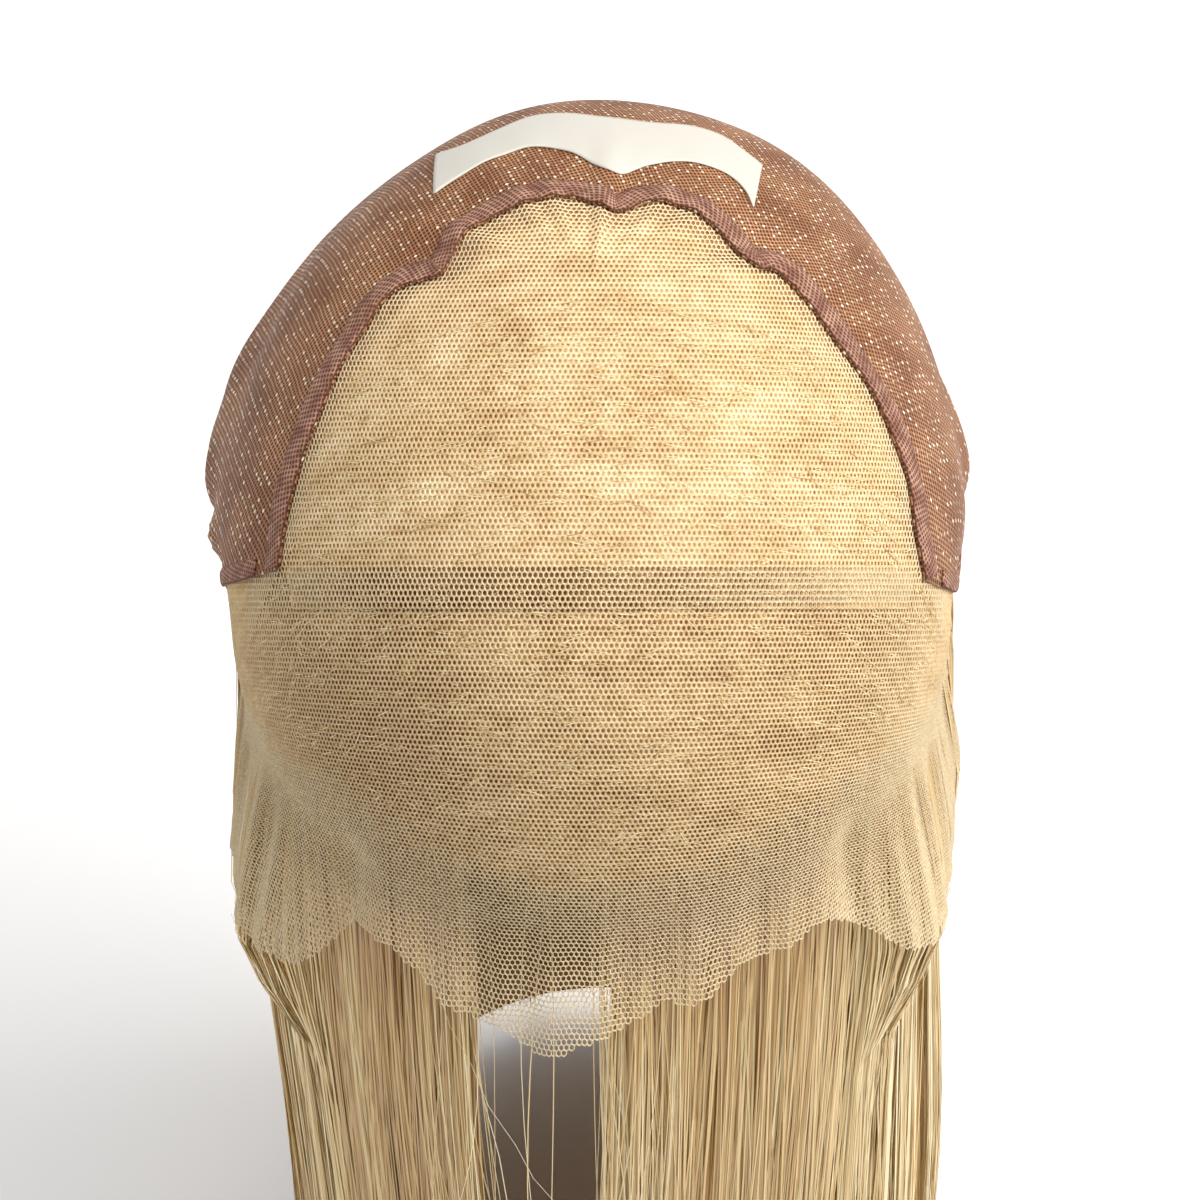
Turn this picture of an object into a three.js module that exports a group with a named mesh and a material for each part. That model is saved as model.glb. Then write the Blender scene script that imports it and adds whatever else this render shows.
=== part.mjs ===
// A lace front wig turned inside out: its net and lace cap shows outside, and its hair hangs inside it.
// Millimetres, +Z up. The front of the cap faces -Y, and its left side in a front view is -X.
// The origin is where the top of a head seats, under the hair layer at the crown.
import * as THREE from 'three';

// The cap's outer form: an egg in plan, a dome above its widest ring and a skirt below it.
const capHalfWidth = 87;
const capFrontDepth = 102;
const capBackDepth = 107;
const capHeight = 95;

// Cloth and hair, each laid over the one before with a small gap.
const laceThickness = 1.0;
const netThickness = 1.2;
const hemThickness = 1.0;
const hemWidth = 7;
const napeHemWidth = 5.5;
const napeLift = 0.4;
const laceUnderHem = 0.7;
const seamWidth = 8.2;
const seamThickness = 0.9;
const tapeThickness = 1.0;
const hairLayerThickness = 4;
const layerGap = 0.7;
const hairGap = 0.9;
const edgeGap = 0.5;
const lockTopGap = 0.9;

// Hair that hangs from the cap, measured down from the front hairline to the blunt tips.
const hairLength = 355;
const lockThickness = 9;
const lockTipThickness = 4;
const lockGap = 1.2;
const lockRecess = 1.2;

// How far the bare front margin stands out from the face, as a share of the cap's depth for each
// cap height that it falls.
const marginLean = 0.68;
const sideTuck = 0.03;
const napeTuck = 0.15;
const leanEase = 25;
const leanRun = 110;

// Lengths on the cap are shares of a quarter arc, from the vertex down to the widest ring.
const quarterArc = (Math.PI / 2) * capHeight;
const slopeStep = 0.004;
const share = (length) => length / quarterArc;

// The front edge of the net, from the left ear tab over the crown to the right ear tab. The rows
// that step back and forth are its puckers.
const archRows = [
  { across: -0.594, ahead: 0.29 }, { across: -0.565, ahead: 0.21 }, { across: -0.5, ahead: 0.12 },
  { across: -0.402, ahead: 0.0 }, { across: -0.325, ahead: -0.072 }, { across: -0.245, ahead: -0.08 },
  { across: -0.226, ahead: -0.108 }, { across: -0.195, ahead: -0.147 }, { across: -0.1, ahead: -0.18 },
  { across: -0.02, ahead: -0.185 }, { across: 0.04, ahead: -0.16 }, { across: 0.1, ahead: -0.186 },
  { across: 0.17, ahead: -0.174 }, { across: 0.222, ahead: -0.14 }, { across: 0.27, ahead: -0.098 },
  { across: 0.32, ahead: -0.102 }, { across: 0.41, ahead: -0.037 }, { across: 0.505, ahead: 0.038 },
  { across: 0.59, ahead: 0.129 }, { across: 0.622, ahead: 0.212 }, { across: 0.674, ahead: 0.277 },
];

// The lower edge of the net, from the left ear tab round the nape to the right ear tab.
const rimRows = [
  { azimuth: -84, reach: 1.0 }, { azimuth: -98, reach: 1.05 }, { azimuth: -118, reach: 1.13 },
  { azimuth: -148, reach: 1.24 }, { azimuth: -180, reach: 1.28 }, { azimuth: -212, reach: 1.24 },
  { azimuth: -242, reach: 1.13 }, { azimuth: -262, reach: 1.05 }, { azimuth: -276, reach: 1.0 },
];
const tabBow = 0.03;
const tabHemStart = 0.14;
const tabHemEnd = 0.16;

// The lower edge of the front lace, left to right in a front view, with its two deeper side lobes.
const edgeRows = [
  { azimuth: -84, reach: 1.28 }, { azimuth: -74, reach: 1.36 }, { azimuth: -60, reach: 1.4 },
  { azimuth: -48, reach: 1.35 }, { azimuth: -41, reach: 1.25 }, { azimuth: -36, reach: 1.15 },
  { azimuth: -29, reach: 1.11 }, { azimuth: -25, reach: 1.15 }, { azimuth: -19, reach: 1.18 },
  { azimuth: -11, reach: 1.197 }, { azimuth: -5, reach: 1.206 }, { azimuth: 0, reach: 1.192 },
  { azimuth: 6, reach: 1.163 }, { azimuth: 13, reach: 1.148 }, { azimuth: 21, reach: 1.129 },
  { azimuth: 35, reach: 1.127 }, { azimuth: 40, reach: 1.176 }, { azimuth: 44, reach: 1.254 },
  { azimuth: 49, reach: 1.333 }, { azimuth: 57, reach: 1.42 }, { azimuth: 72, reach: 1.42 },
  { azimuth: 84, reach: 1.34 },
];

// Where the knotted hair starts, left to right, then round the back under the net.
const hairlineRows = [
  { azimuth: -180, reach: 1.02 }, { azimuth: -120, reach: 0.98 }, { azimuth: -90, reach: 0.96 },
  { azimuth: -64, reach: 0.95 }, { azimuth: -39, reach: 0.868 }, { azimuth: -20, reach: 0.88 },
  { azimuth: -2, reach: 0.905 }, { azimuth: 20, reach: 0.881 }, { azimuth: 35, reach: 0.858 },
  { azimuth: 52, reach: 0.895 }, { azimuth: 68, reach: 0.95 }, { azimuth: 90, reach: 0.965 },
  { azimuth: 120, reach: 0.98 }, { azimuth: 180, reach: 1.02 },
];

// The seam where the two laces overlap: its middle line bows back towards the ears.
const seamAhead = 0.42;
const seamBow = 0.277;
const seamEndLeft = -0.57;
const seamEndRight = 0.64;
const tabAzimuth = 66;
const tabTuckReach = 0.7;
const tabTuckSlope = 0.009;
const laceSideAzimuth = 84;

// The strip of tape behind the crown, whose front edge is shaped like a bow.
const tapeBackRows = [
  { across: -0.278, ahead: -0.4 }, { across: -0.224, ahead: -0.386 }, { across: -0.16, ahead: -0.412 },
  { across: -0.1, ahead: -0.446 }, { across: -0.04, ahead: -0.44 }, { across: 0.025, ahead: -0.418 },
  { across: 0.106, ahead: -0.412 }, { across: 0.183, ahead: -0.434 }, { across: 0.233, ahead: -0.428 },
  { across: 0.273, ahead: -0.392 }, { across: 0.306, ahead: -0.362 },
];
const tapeFrontRows = [
  { across: -0.266, ahead: -0.254 }, { across: -0.212, ahead: -0.282 }, { across: -0.154, ahead: -0.305 },
  { across: -0.1, ahead: -0.317 }, { across: -0.035, ahead: -0.297 }, { across: 0.041, ahead: -0.24 },
  { across: 0.101, ahead: -0.27 }, { across: 0.141, ahead: -0.289 }, { across: 0.192, ahead: -0.296 },
  { across: 0.233, ahead: -0.29 }, { across: 0.262, ahead: -0.258 }, { across: 0.276, ahead: -0.222 },
];

// Dents and bulges of the cap: rise is a share of the cap's half width, wide is in degrees.
const dentRows = [
  { azimuth: -114, reach: 0.72, rise: -0.024, wide: 16, long: 0.07 },
  { azimuth: -108, reach: 0.82, rise: 0.02, wide: 9, long: 0.045 },
  { azimuth: -97, reach: 0.895, rise: 0.03, wide: 12, long: 0.045 },
  { azimuth: -92, reach: 0.96, rise: -0.016, wide: 12, long: 0.045 },
  { azimuth: -80, reach: 1.07, rise: -0.03, wide: 18, long: 0.11 },
  { azimuth: 108, reach: 0.84, rise: -0.026, wide: 10, long: 0.045 },
  { azimuth: 99, reach: 0.91, rise: 0.018, wide: 12, long: 0.045 },
  { azimuth: 90, reach: 0.97, rise: -0.014, wide: 12, long: 0.045 },
  { azimuth: 80, reach: 1.06, rise: -0.026, wide: 18, long: 0.1 },
  { azimuth: 78, reach: 1.3, rise: 0.02, wide: 14, long: 0.1 },
  { azimuth: -140, reach: 0.64, rise: -0.03, wide: 22, long: 0.14 },
  { azimuth: 140, reach: 0.64, rise: 0.024, wide: 22, long: 0.14 },
  { azimuth: -117, reach: 0.29, rise: -0.014, wide: 14, long: 0.07 },
  { azimuth: 166, reach: 0.2, rise: -0.012, wide: 14, long: 0.06 },
  { azimuth: 108, reach: 0.33, rise: -0.01, wide: 12, long: 0.06 },
];

// Pleats of the bare margin, which start at the hairline and deepen towards the edge.
const pleatRows = [
  { azimuth: -57, rise: 0.02, wide: 4 }, { azimuth: -38, rise: -0.032, wide: 3 },
  { azimuth: -30, rise: 0.028, wide: 3.2 }, { azimuth: -16, rise: -0.014, wide: 5 },
  { azimuth: -3, rise: 0.022, wide: 3.5 }, { azimuth: 8, rise: -0.014, wide: 3 },
  { azimuth: 16, rise: 0.014, wide: 3 }, { azimuth: 24, rise: -0.014, wide: 3 },
  { azimuth: 32, rise: 0.016, wide: 3 }, { azimuth: 42, rise: -0.036, wide: 3.4 },
  { azimuth: 55, rise: 0.018, wide: 4 },
];
const pleatRun = 0.3;

// How far out the hair hangs at its tips, as a share of the cap's plan.
const spreadRows = [
  { azimuth: -180, share: 1.0 }, { azimuth: -120, share: 0.97 }, { azimuth: -90, share: 0.95 },
  { azimuth: -45, share: 0.93 }, { azimuth: -18, share: 0.92 }, { azimuth: 6, share: 0.92 },
  { azimuth: 45, share: 0.98 }, { azimuth: 90, share: 1.11 }, { azimuth: 120, share: 1.06 },
  { azimuth: 180, share: 1.0 },
];
const spreadStart = 70;
const spreadRun = 200;

// A lock's rows are closer near the cap. Its recess and its body grow within a short way of the
// hairline, and it thins from taperStart, a share of its length, down to its tips.
const rowCrowding = 1.6;
const recessRun = 0.125;
const bodyRun = 0.25;
const taperStart = 0.6;

// The locks, with the azimuths that each spans at the cap and how much shorter than the longest
// each is, as a share of the hair's length. The opening for the face is between the two front ones.
const lockRows = [
  { name: 'hair_front_left', from: -65, to: -20, short: 0.03, columns: 8 },
  { name: 'hair_side_left', from: -114, to: -65, short: 0.0, columns: 8 },
  { name: 'hair_back_left', from: -180, to: -114, short: 0.02, columns: 9 },
  { name: 'hair_front_right', from: 4, to: 60, short: 0.02, columns: 9 },
  { name: 'hair_side_right', from: 60, to: 114, short: 0.0, columns: 8 },
  { name: 'hair_back_right', from: 114, to: 180, short: 0.02, columns: 9 },
];

const crownTop = hairLayerThickness + hairGap + laceThickness;
const ringLevel = crownTop - capHeight;
const smooth = (x) => {
  const held = Math.min(Math.max(x, 0), 1);
  return held * held * (3 - 2 * held);
};
const mix = (a, b, t) => a + (b - a) * t;
const bell = (x, wide) => Math.exp(-((x / wide) ** 2));
const turned = (degrees) => ((((degrees + 180) % 360) + 360) % 360) - 180;

// A smooth curve value(key) through rows, held at its ends.
function along(rows, key, value) {
  return (x) => {
    const last = rows.length - 1;
    if (x <= rows[0][key]) return rows[0][value];
    if (x >= rows[last][key]) return rows[last][value];
    const i = rows.findIndex((row) => row[key] > x) - 1;
    const slope = (k) => {
      const low = rows[Math.max(k - 1, 0)];
      const high = rows[Math.min(k + 1, last)];
      return (high[value] - low[value]) / (high[key] - low[key]);
    };
    const span = rows[i + 1][key] - rows[i][key];
    const t = (x - rows[i][key]) / span;
    const line = mix(rows[i][value], rows[i + 1][value], smooth(t));
    const start = slope(i) * span * t * (1 - t) ** 2;
    const end = slope(i + 1) * span * t * t * (1 - t);
    return line + start - end;
  };
}

const edgeReach = along(edgeRows, 'azimuth', 'reach');
const hairlineReach = along(hairlineRows, 'azimuth', 'reach');
const tipSpread = along(spreadRows, 'azimuth', 'share');

// A smooth line through rows of across and ahead, as a function of its share of the way.
function lineThrough(rows) {
  const points = rows.map((row) => new THREE.Vector3(row.across, row.ahead, 0));
  const curve = new THREE.CatmullRomCurve3(points, false, 'centripetal');
  return (s) => {
    const p = curve.getPointAt(Math.min(Math.max(s, 0), 1));
    return { across: p.x, ahead: p.y };
  };
}

const polar = (azimuth, reach) => {
  const angle = THREE.MathUtils.degToRad(azimuth);
  return { across: reach * Math.sin(angle), ahead: reach * Math.cos(angle) };
};

const archLine = lineThrough(archRows);
const rimLine = lineThrough(rimRows.map((row) => polar(row.azimuth, row.reach)));

// Relief of the cap at a place, in millimetres out from the plain form.
function relief(azimuth, reach, pleated) {
  let rise = 0;
  for (const dent of dentRows) {
    const aside = turned(azimuth - dent.azimuth);
    rise += dent.rise * bell(aside, dent.wide) * bell(reach - dent.reach, dent.long);
  }
  if (pleated) {
    const deep = smooth((reach - hairlineReach(azimuth)) / pleatRun);
    for (const pleat of pleatRows) {
      rise += pleat.rise * bell(azimuth - pleat.azimuth, pleat.wide) * deep;
    }
  }
  return rise * capHalfWidth;
}

// The cap's outer surface at a place of its flat map. Hanging hair takes the form without the
// lean and the pleats of the lace margin.
function formPoint(across, ahead, isLace) {
  const reach = Math.hypot(across, ahead);
  const azimuth = THREE.MathUtils.radToDeg(Math.atan2(across, ahead));
  const sine = reach > 0 ? across / reach : 0;
  const cosine = reach > 0 ? ahead / reach : 0;
  const fall = Math.max(reach - 1, 0) * quarterArc;
  const eased = leanRun * Math.tanh(fall / leanRun);
  const ramp = (eased * eased) / (eased + leanEase) / capHeight;
  const lean = isLace ? marginLean * Math.max(cosine, 0) ** 1.5 : 0;
  const tuck = sideTuck * sine * sine + napeTuck * Math.max(-cosine, 0);
  const dome = Math.sin((Math.min(reach, 1) * Math.PI) / 2);
  const radial = reach < 1 ? dome : 1 + ramp * (lean - tuck);
  const depth = cosine > 0 ? capFrontDepth : capBackDepth;
  const level = reach < 1 ? capHeight * Math.cos((reach * Math.PI) / 2) : -fall;
  const rise = relief(azimuth, reach, isLace);
  const outward = new THREE.Vector3(sine * dome, -cosine * dome, reach < 1 ? level / capHeight : 0);
  return new THREE.Vector3(
    capHalfWidth * sine * radial, -depth * cosine * radial, ringLevel + level,
  ).addScaledVector(outward, rise);
}

// A point at a height over the cap's outer surface, square to it.
function capPoint(place, height, isLace = true) {
  const { across, ahead } = place;
  const at = (aside, on) => formPoint(across + aside, ahead + on, isLace);
  const wide = at(slopeStep, 0).sub(at(-slopeStep, 0));
  const long = at(0, -slopeStep).sub(at(0, slopeStep));
  const normal = wide.cross(long).normalize();
  return formPoint(across, ahead, isLace).addScaledVector(normal, height);
}

// A closed wall over a grid of places: each place gives its outer and its inner point.
function wall(columns, rows, pointsAt) {
  const positions = [];
  const faces = [];
  const count = (columns + 1) * (rows + 1);
  for (const side of [0, 1]) {
    for (let i = 0; i <= columns; i += 1) {
      for (let j = 0; j <= rows; j += 1) {
        positions.push(...pointsAt(i / columns, j / rows)[side].toArray());
      }
    }
  }
  const at = (i, j, side) => side * count + i * (rows + 1) + j;
  const quad = (a, b, c, d) => faces.push(a, b, c, a, c, d);
  for (let i = 0; i < columns; i += 1) {
    for (let j = 0; j < rows; j += 1) {
      quad(at(i, j, 0), at(i, j + 1, 0), at(i + 1, j + 1, 0), at(i + 1, j, 0));
      quad(at(i, j, 1), at(i + 1, j, 1), at(i + 1, j + 1, 1), at(i, j + 1, 1));
    }
    quad(at(i, 0, 0), at(i + 1, 0, 0), at(i + 1, 0, 1), at(i, 0, 1));
    quad(at(i, rows, 0), at(i, rows, 1), at(i + 1, rows, 1), at(i + 1, rows, 0));
  }
  for (let j = 0; j < rows; j += 1) {
    quad(at(0, j, 0), at(0, j, 1), at(0, j + 1, 1), at(0, j + 1, 0));
    quad(at(columns, j, 0), at(columns, j + 1, 0), at(columns, j + 1, 1), at(columns, j, 1));
  }
  return solid(positions, faces);
}

// A closed bowl round the vertex, whose rings run out to a reach that depends on the azimuth.
function bowl(columns, rings, reachAt, outer, inner, isLace) {
  const positions = [];
  const faces = [];
  for (const height of [outer, inner]) {
    positions.push(...capPoint({ across: 0, ahead: 0 }, height, isLace).toArray());
    for (let ring = 1; ring <= rings; ring += 1) {
      for (let i = 0; i < columns; i += 1) {
        const azimuth = (i / columns) * 360 - 180;
        const place = polar(azimuth, (reachAt(azimuth) * ring) / rings);
        positions.push(...capPoint(place, height, isLace).toArray());
      }
    }
  }
  const count = rings * columns + 1;
  const at = (ring, i, side) => side * count + (ring ? 1 + (ring - 1) * columns + (i % columns) : 0);
  for (let i = 0; i < columns; i += 1) {
    faces.push(at(0, 0, 0), at(1, i, 0), at(1, i + 1, 0));
    faces.push(at(0, 0, 1), at(1, i + 1, 1), at(1, i, 1));
    for (let ring = 1; ring < rings; ring += 1) {
      const outerQuad = [at(ring, i, 0), at(ring + 1, i, 0), at(ring + 1, i + 1, 0), at(ring, i + 1, 0)];
      const innerQuad = [at(ring, i, 1), at(ring, i + 1, 1), at(ring + 1, i + 1, 1), at(ring + 1, i, 1)];
      for (const [a, b, c, d] of [outerQuad, innerQuad]) faces.push(a, b, c, a, c, d);
    }
    const [a, b] = [at(rings, i, 0), at(rings, i + 1, 0)];
    const [c, d] = [at(rings, i + 1, 1), at(rings, i, 1)];
    faces.push(a, d, c, a, c, b);
  }
  return solid(positions, faces);
}

// A closed body from its corners and faces, turned so that the faces point outward.
function solid(positions, faces) {
  const corner = (k) => new THREE.Vector3().fromArray(positions, 3 * k);
  let volume = 0;
  for (let f = 0; f < faces.length; f += 3) {
    volume += corner(faces[f]).dot(corner(faces[f + 1]).cross(corner(faces[f + 2])));
  }
  if (volume < 0) faces.reverse();
  const geometry = new THREE.BufferGeometry();
  geometry.setAttribute('position', new THREE.Float32BufferAttribute(positions, 3));
  geometry.setIndex(faces);
  geometry.computeVertexNormals();
  return geometry;
}

// A patch of the cap between two lines of its map, from one height to another.
function patch(columns, rows, placeAt, outer, inner) {
  return wall(columns, rows, (s, w) => {
    const place = placeAt(s, w);
    return [capPoint(place, outer), capPoint(place, inner)];
  });
}

// A ribbon laid along a line of the map, to the side that its width leads to.
function ribbon(columns, lineAt, width, outer, inner) {
  return patch(columns, 1, (s, w) => {
    const low = lineAt(Math.max(s - slopeStep, 0));
    const high = lineAt(Math.min(s + slopeStep, 1));
    const run = Math.hypot(high.across - low.across, high.ahead - low.ahead);
    const here = lineAt(s);
    const aside = share(width) * w;
    return {
      across: here.across + ((high.ahead - low.ahead) / run) * aside,
      ahead: here.ahead - ((high.across - low.across) / run) * aside,
    };
  }, outer, inner);
}

const seamLine = (across, offset = 0) => ({ across, ahead: seamAhead + offset - seamBow * across * across });

// How far from the vertex the seam's middle line lies at an azimuth.
function seamReach(azimuth) {
  const angle = THREE.MathUtils.degToRad(azimuth);
  const bow = seamBow * Math.sin(angle) ** 2;
  const ahead = Math.cos(angle);
  return bow < 1e-6 ? seamAhead : (Math.sqrt(ahead * ahead + 4 * bow * seamAhead) - ahead) / (2 * bow);
}

const archPolar = Array.from({ length: 160 }, (_, i) => {
  const { across, ahead } = archLine(i / 159);
  const azimuth = THREE.MathUtils.radToDeg(Math.atan2(across, ahead));
  return { azimuth: azimuth > 0 ? azimuth - 360 : azimuth, reach: Math.hypot(across, ahead) };
}).reverse();

// How far from the vertex the net's front edge lies at an azimuth behind the ear tabs.
function archReach(azimuth) {
  const wrapped = azimuth > 0 ? azimuth - 360 : azimuth;
  const i = Math.max(archPolar.findIndex((row) => row.azimuth >= wrapped), 1);
  const [low, high] = [archPolar[i - 1], archPolar[i]];
  return mix(low.reach, high.reach, (wrapped - low.azimuth) / (high.azimuth - low.azimuth));
}

// Where the two laces meet: along the seam, and beside it under the ear tabs.
function meetReach(azimuth) {
  const past = Math.max(Math.abs(azimuth) - tabAzimuth, 0);
  const tucked = tabTuckReach + past * tabTuckSlope;
  return Math.min(seamReach(Math.min(Math.abs(azimuth), laceSideAzimuth)), tucked);
}

function topLace() {
  const underHem = share(hemWidth * laceUnderHem);
  const tabs = [archPolar[archPolar.length - 1].azimuth, archPolar[0].azimuth + 360];
  const reachAt = (azimuth) => {
    const toSeam = meetReach(azimuth) - share(edgeGap / 2);
    if (azimuth > tabs[0] && azimuth < tabs[1]) return toSeam;
    return Math.min(archReach(azimuth) + underHem, toSeam);
  };
  return bowl(54, 7, reachAt, 0, -laceThickness, true);
}

function frontLace() {
  const placeAt = (s, w) => {
    const azimuth = mix(-laceSideAzimuth, laceSideAzimuth, s);
    return polar(azimuth, mix(meetReach(azimuth) + share(edgeGap / 2), edgeReach(azimuth), w));
  };
  return patch(46, 9, placeAt, 0, -laceThickness);
}

const netLow = layerGap;
const netHigh = netLow + netThickness;

function crownNet() {
  const placeAt = (s, w) => {
    const [arch, rim] = [archLine(s), rimLine(s)];
    const bow = tabBow * 4 * w * (1 - w) * (bell(s, 0.03) + bell(1 - s, 0.03));
    return { across: mix(arch.across, rim.across, w), ahead: mix(arch.ahead, rim.ahead, w) + bow };
  };
  return patch(40, 8, placeAt, netHigh, netLow);
}

function netHem() {
  const low = netHigh + layerGap;
  return ribbon(40, archLine, hemWidth, low + hemThickness, low);
}

// The hem of the lower edge runs along the ear tabs and the nape.
function napeHem() {
  const low = netHigh + layerGap + napeLift;
  const start = archLine(0);
  const end = archLine(1);
  const rim = Array.from({ length: 15 }, (_, i) => rimLine(i / 14));
  const tab = (corner, tip, t) => ({
    across: mix(corner.across, tip.across, t),
    ahead: mix(corner.ahead, tip.ahead, t) + tabBow * 4 * t * (1 - t),
  });
  const left = [tabHemStart, 0.4, 0.7].map((t) => tab(start, rim[0], t));
  const right = [0.7, 0.4, tabHemEnd].map((t) => tab(end, rim[14], t));
  return ribbon(42, lineThrough([...left, ...rim, ...right]), -napeHemWidth, low + hemThickness, low);
}

function laceSeam() {
  const half = share(seamWidth) / 2;
  const placeAt = (s, w) => seamLine(mix(seamEndLeft, seamEndRight, s), mix(-half, half, w));
  return patch(26, 1, placeAt, layerGap + seamThickness, layerGap);
}

function tapeStrip() {
  const [back, front] = [lineThrough(tapeBackRows), lineThrough(tapeFrontRows)];
  const low = netHigh + layerGap;
  const placeAt = (s, w) => {
    const [far, near] = [back(s), front(s)];
    return { across: mix(far.across, near.across, w), ahead: mix(far.ahead, near.ahead, w) };
  };
  return patch(16, 2, placeAt, low + tapeThickness, low);
}

const hairOuter = -laceThickness - hairGap;

function hairCrown() {
  const inner = hairOuter - hairLayerThickness;
  const reachAt = (azimuth) => hairlineReach(azimuth) - share(lockTopGap);
  return bowl(38, 10, reachAt, hairOuter, inner, false);
}

// A place on a hanging lock, which follows the inside of the cap and then spreads to its tips.
function hangingPoint(azimuth, reach, depth) {
  const point = capPoint(polar(azimuth, reach), hairOuter - depth, false);
  const hang = smooth((ringLevel - point.z - spreadStart) / spreadRun);
  const spread = mix(1, tipSpread(azimuth), hang);
  return new THREE.Vector3(point.x * spread, point.y * spread, point.z);
}

function hairLock({ from, to, short, columns }) {
  const hairlineLevel = capPoint(polar(0, hairlineReach(0)), hairOuter, false).z;
  const tipLevel = hairlineLevel - hairLength * (1 - short);
  const tipReach = 1 + share(ringLevel - tipLevel);
  const half = THREE.MathUtils.radToDeg(lockGap / 2 / capHalfWidth);
  return wall(columns, 11, (s, w) => {
    const azimuth = mix(from + half, to - half, s);
    const reach = mix(hairlineReach(azimuth), tipReach, w ** rowCrowding);
    const recess = lockRecess * smooth(w / recessRun);
    const body = mix(hairLayerThickness, lockThickness, smooth(w / bodyRun));
    const thickness = mix(body, lockTipThickness, smooth((w - taperStart) / (1 - taperStart)));
    return [recess, recess + thickness].map((depth) => hangingPoint(azimuth, reach, depth));
  });
}

// Colours and finishes as the cloth and the hair show them.
const finish = (color, roughness) => ({ color, roughness, metalness: 0 });
const laceFinish = finish(0xe0bf92, 0.8);
const marginFinish = finish(0xd8c4a2, 0.8);
const seamFinish = finish(0xe8d6b8, 0.75);
const netFinish = finish(0xa0765a, 0.85);
const hemFinish = finish(0x8a6250, 0.85);
const tapeFinish = finish(0xf0ebe0, 0.45);
const hairFinish = finish(0xb99a66, 0.5);

const wig = new THREE.Group();

function add(name, geometry, look) {
  const mesh = new THREE.Mesh(geometry, new THREE.MeshStandardMaterial(look));
  mesh.name = name;
  wig.add(mesh);
}

add('top_lace', topLace(), laceFinish);
add('front_lace', frontLace(), marginFinish);
add('lace_seam', laceSeam(), seamFinish);
add('crown_net', crownNet(), netFinish);
add('net_hem', netHem(), hemFinish);
add('nape_hem', napeHem(), hemFinish);
add('tape_strip', tapeStrip(), tapeFinish);
add('hair_crown', hairCrown(), hairFinish);
for (const lock of lockRows) {
  add(lock.name, hairLock(lock), hairFinish);
}

export default wig;
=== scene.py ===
import math

import bpy
import numpy as np
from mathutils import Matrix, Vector


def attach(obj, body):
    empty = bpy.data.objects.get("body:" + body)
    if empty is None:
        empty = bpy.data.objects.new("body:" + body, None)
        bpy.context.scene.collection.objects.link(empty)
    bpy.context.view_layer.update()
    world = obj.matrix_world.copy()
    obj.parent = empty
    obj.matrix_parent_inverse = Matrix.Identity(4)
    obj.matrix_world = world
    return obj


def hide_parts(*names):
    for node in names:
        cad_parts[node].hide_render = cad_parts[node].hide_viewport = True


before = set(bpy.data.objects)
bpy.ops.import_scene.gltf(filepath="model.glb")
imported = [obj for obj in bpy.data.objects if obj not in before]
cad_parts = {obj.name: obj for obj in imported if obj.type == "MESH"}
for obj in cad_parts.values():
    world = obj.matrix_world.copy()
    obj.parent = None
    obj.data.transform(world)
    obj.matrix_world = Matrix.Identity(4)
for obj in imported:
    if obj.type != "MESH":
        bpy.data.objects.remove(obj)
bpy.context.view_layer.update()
mm = 0.001

# The cap's form, in millimetres. A place on it is (across, ahead), in shares of a quarter arc from the vertex.
cap = {"halfWidth": 87.0, "frontDepth": 102.0, "backDepth": 107.0, "height": 95.0, "crownTop": 5.9,
       "marginLean": 0.68, "sideTuck": 0.03, "napeTuck": 0.15, "leanEase": 25.0, "leanRun": 110.0,
       "pleatRun": 0.3, "slopeStep": 0.004}
quarterArc = math.pi / 2 * cap["height"]
ringLevel = cap["crownTop"] - cap["height"]

archRows = [(-0.594, 0.29), (-0.565, 0.21), (-0.5, 0.12), (-0.402, 0.0), (-0.325, -0.072), (-0.245, -0.08),
            (-0.226, -0.108), (-0.195, -0.147), (-0.1, -0.18), (-0.02, -0.185), (0.04, -0.16), (0.1, -0.186),
            (0.17, -0.174), (0.222, -0.14), (0.27, -0.098), (0.32, -0.102), (0.41, -0.037), (0.505, 0.038),
            (0.59, 0.129), (0.622, 0.212), (0.674, 0.277)]
rimRows = [(-84, 1.0), (-98, 1.05), (-118, 1.13), (-148, 1.24), (-180, 1.28), (-212, 1.24), (-242, 1.13),
           (-262, 1.05), (-276, 1.0)]
edgeRows = [(-84, 1.28), (-74, 1.36), (-60, 1.4), (-48, 1.35), (-41, 1.25), (-36, 1.15), (-29, 1.11), (-25, 1.15),
            (-19, 1.18), (-11, 1.197), (-5, 1.206), (0, 1.192), (6, 1.163), (13, 1.148), (21, 1.129), (35, 1.127),
            (40, 1.176), (44, 1.254), (49, 1.333), (57, 1.42), (72, 1.42), (84, 1.34)]
hairlineRows = [(-180, 1.02), (-120, 0.98), (-90, 0.96), (-64, 0.95), (-39, 0.868), (-20, 0.88), (-2, 0.905),
                (20, 0.881), (35, 0.858), (52, 0.895), (68, 0.95), (90, 0.965), (120, 0.98), (180, 1.02)]
seam = {"ahead": 0.42, "bow": 0.277, "endLeft": -0.575, "endRight": 0.64, "width": 8.6, "low": -0.02, "high": 0.3}
tapeBackRows = [(-0.278, -0.4), (-0.224, -0.386), (-0.16, -0.412), (-0.1, -0.446), (-0.04, -0.44), (0.025, -0.418),
                (0.106, -0.412), (0.183, -0.434), (0.233, -0.428), (0.273, -0.392), (0.306, -0.362)]
tapeFrontRows = [(-0.266, -0.254), (-0.212, -0.282), (-0.154, -0.305), (-0.1, -0.317), (-0.035, -0.297),
                 (0.041, -0.24), (0.101, -0.27), (0.141, -0.289), (0.192, -0.296), (0.233, -0.29), (0.262, -0.258),
                 (0.276, -0.222)]
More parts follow.
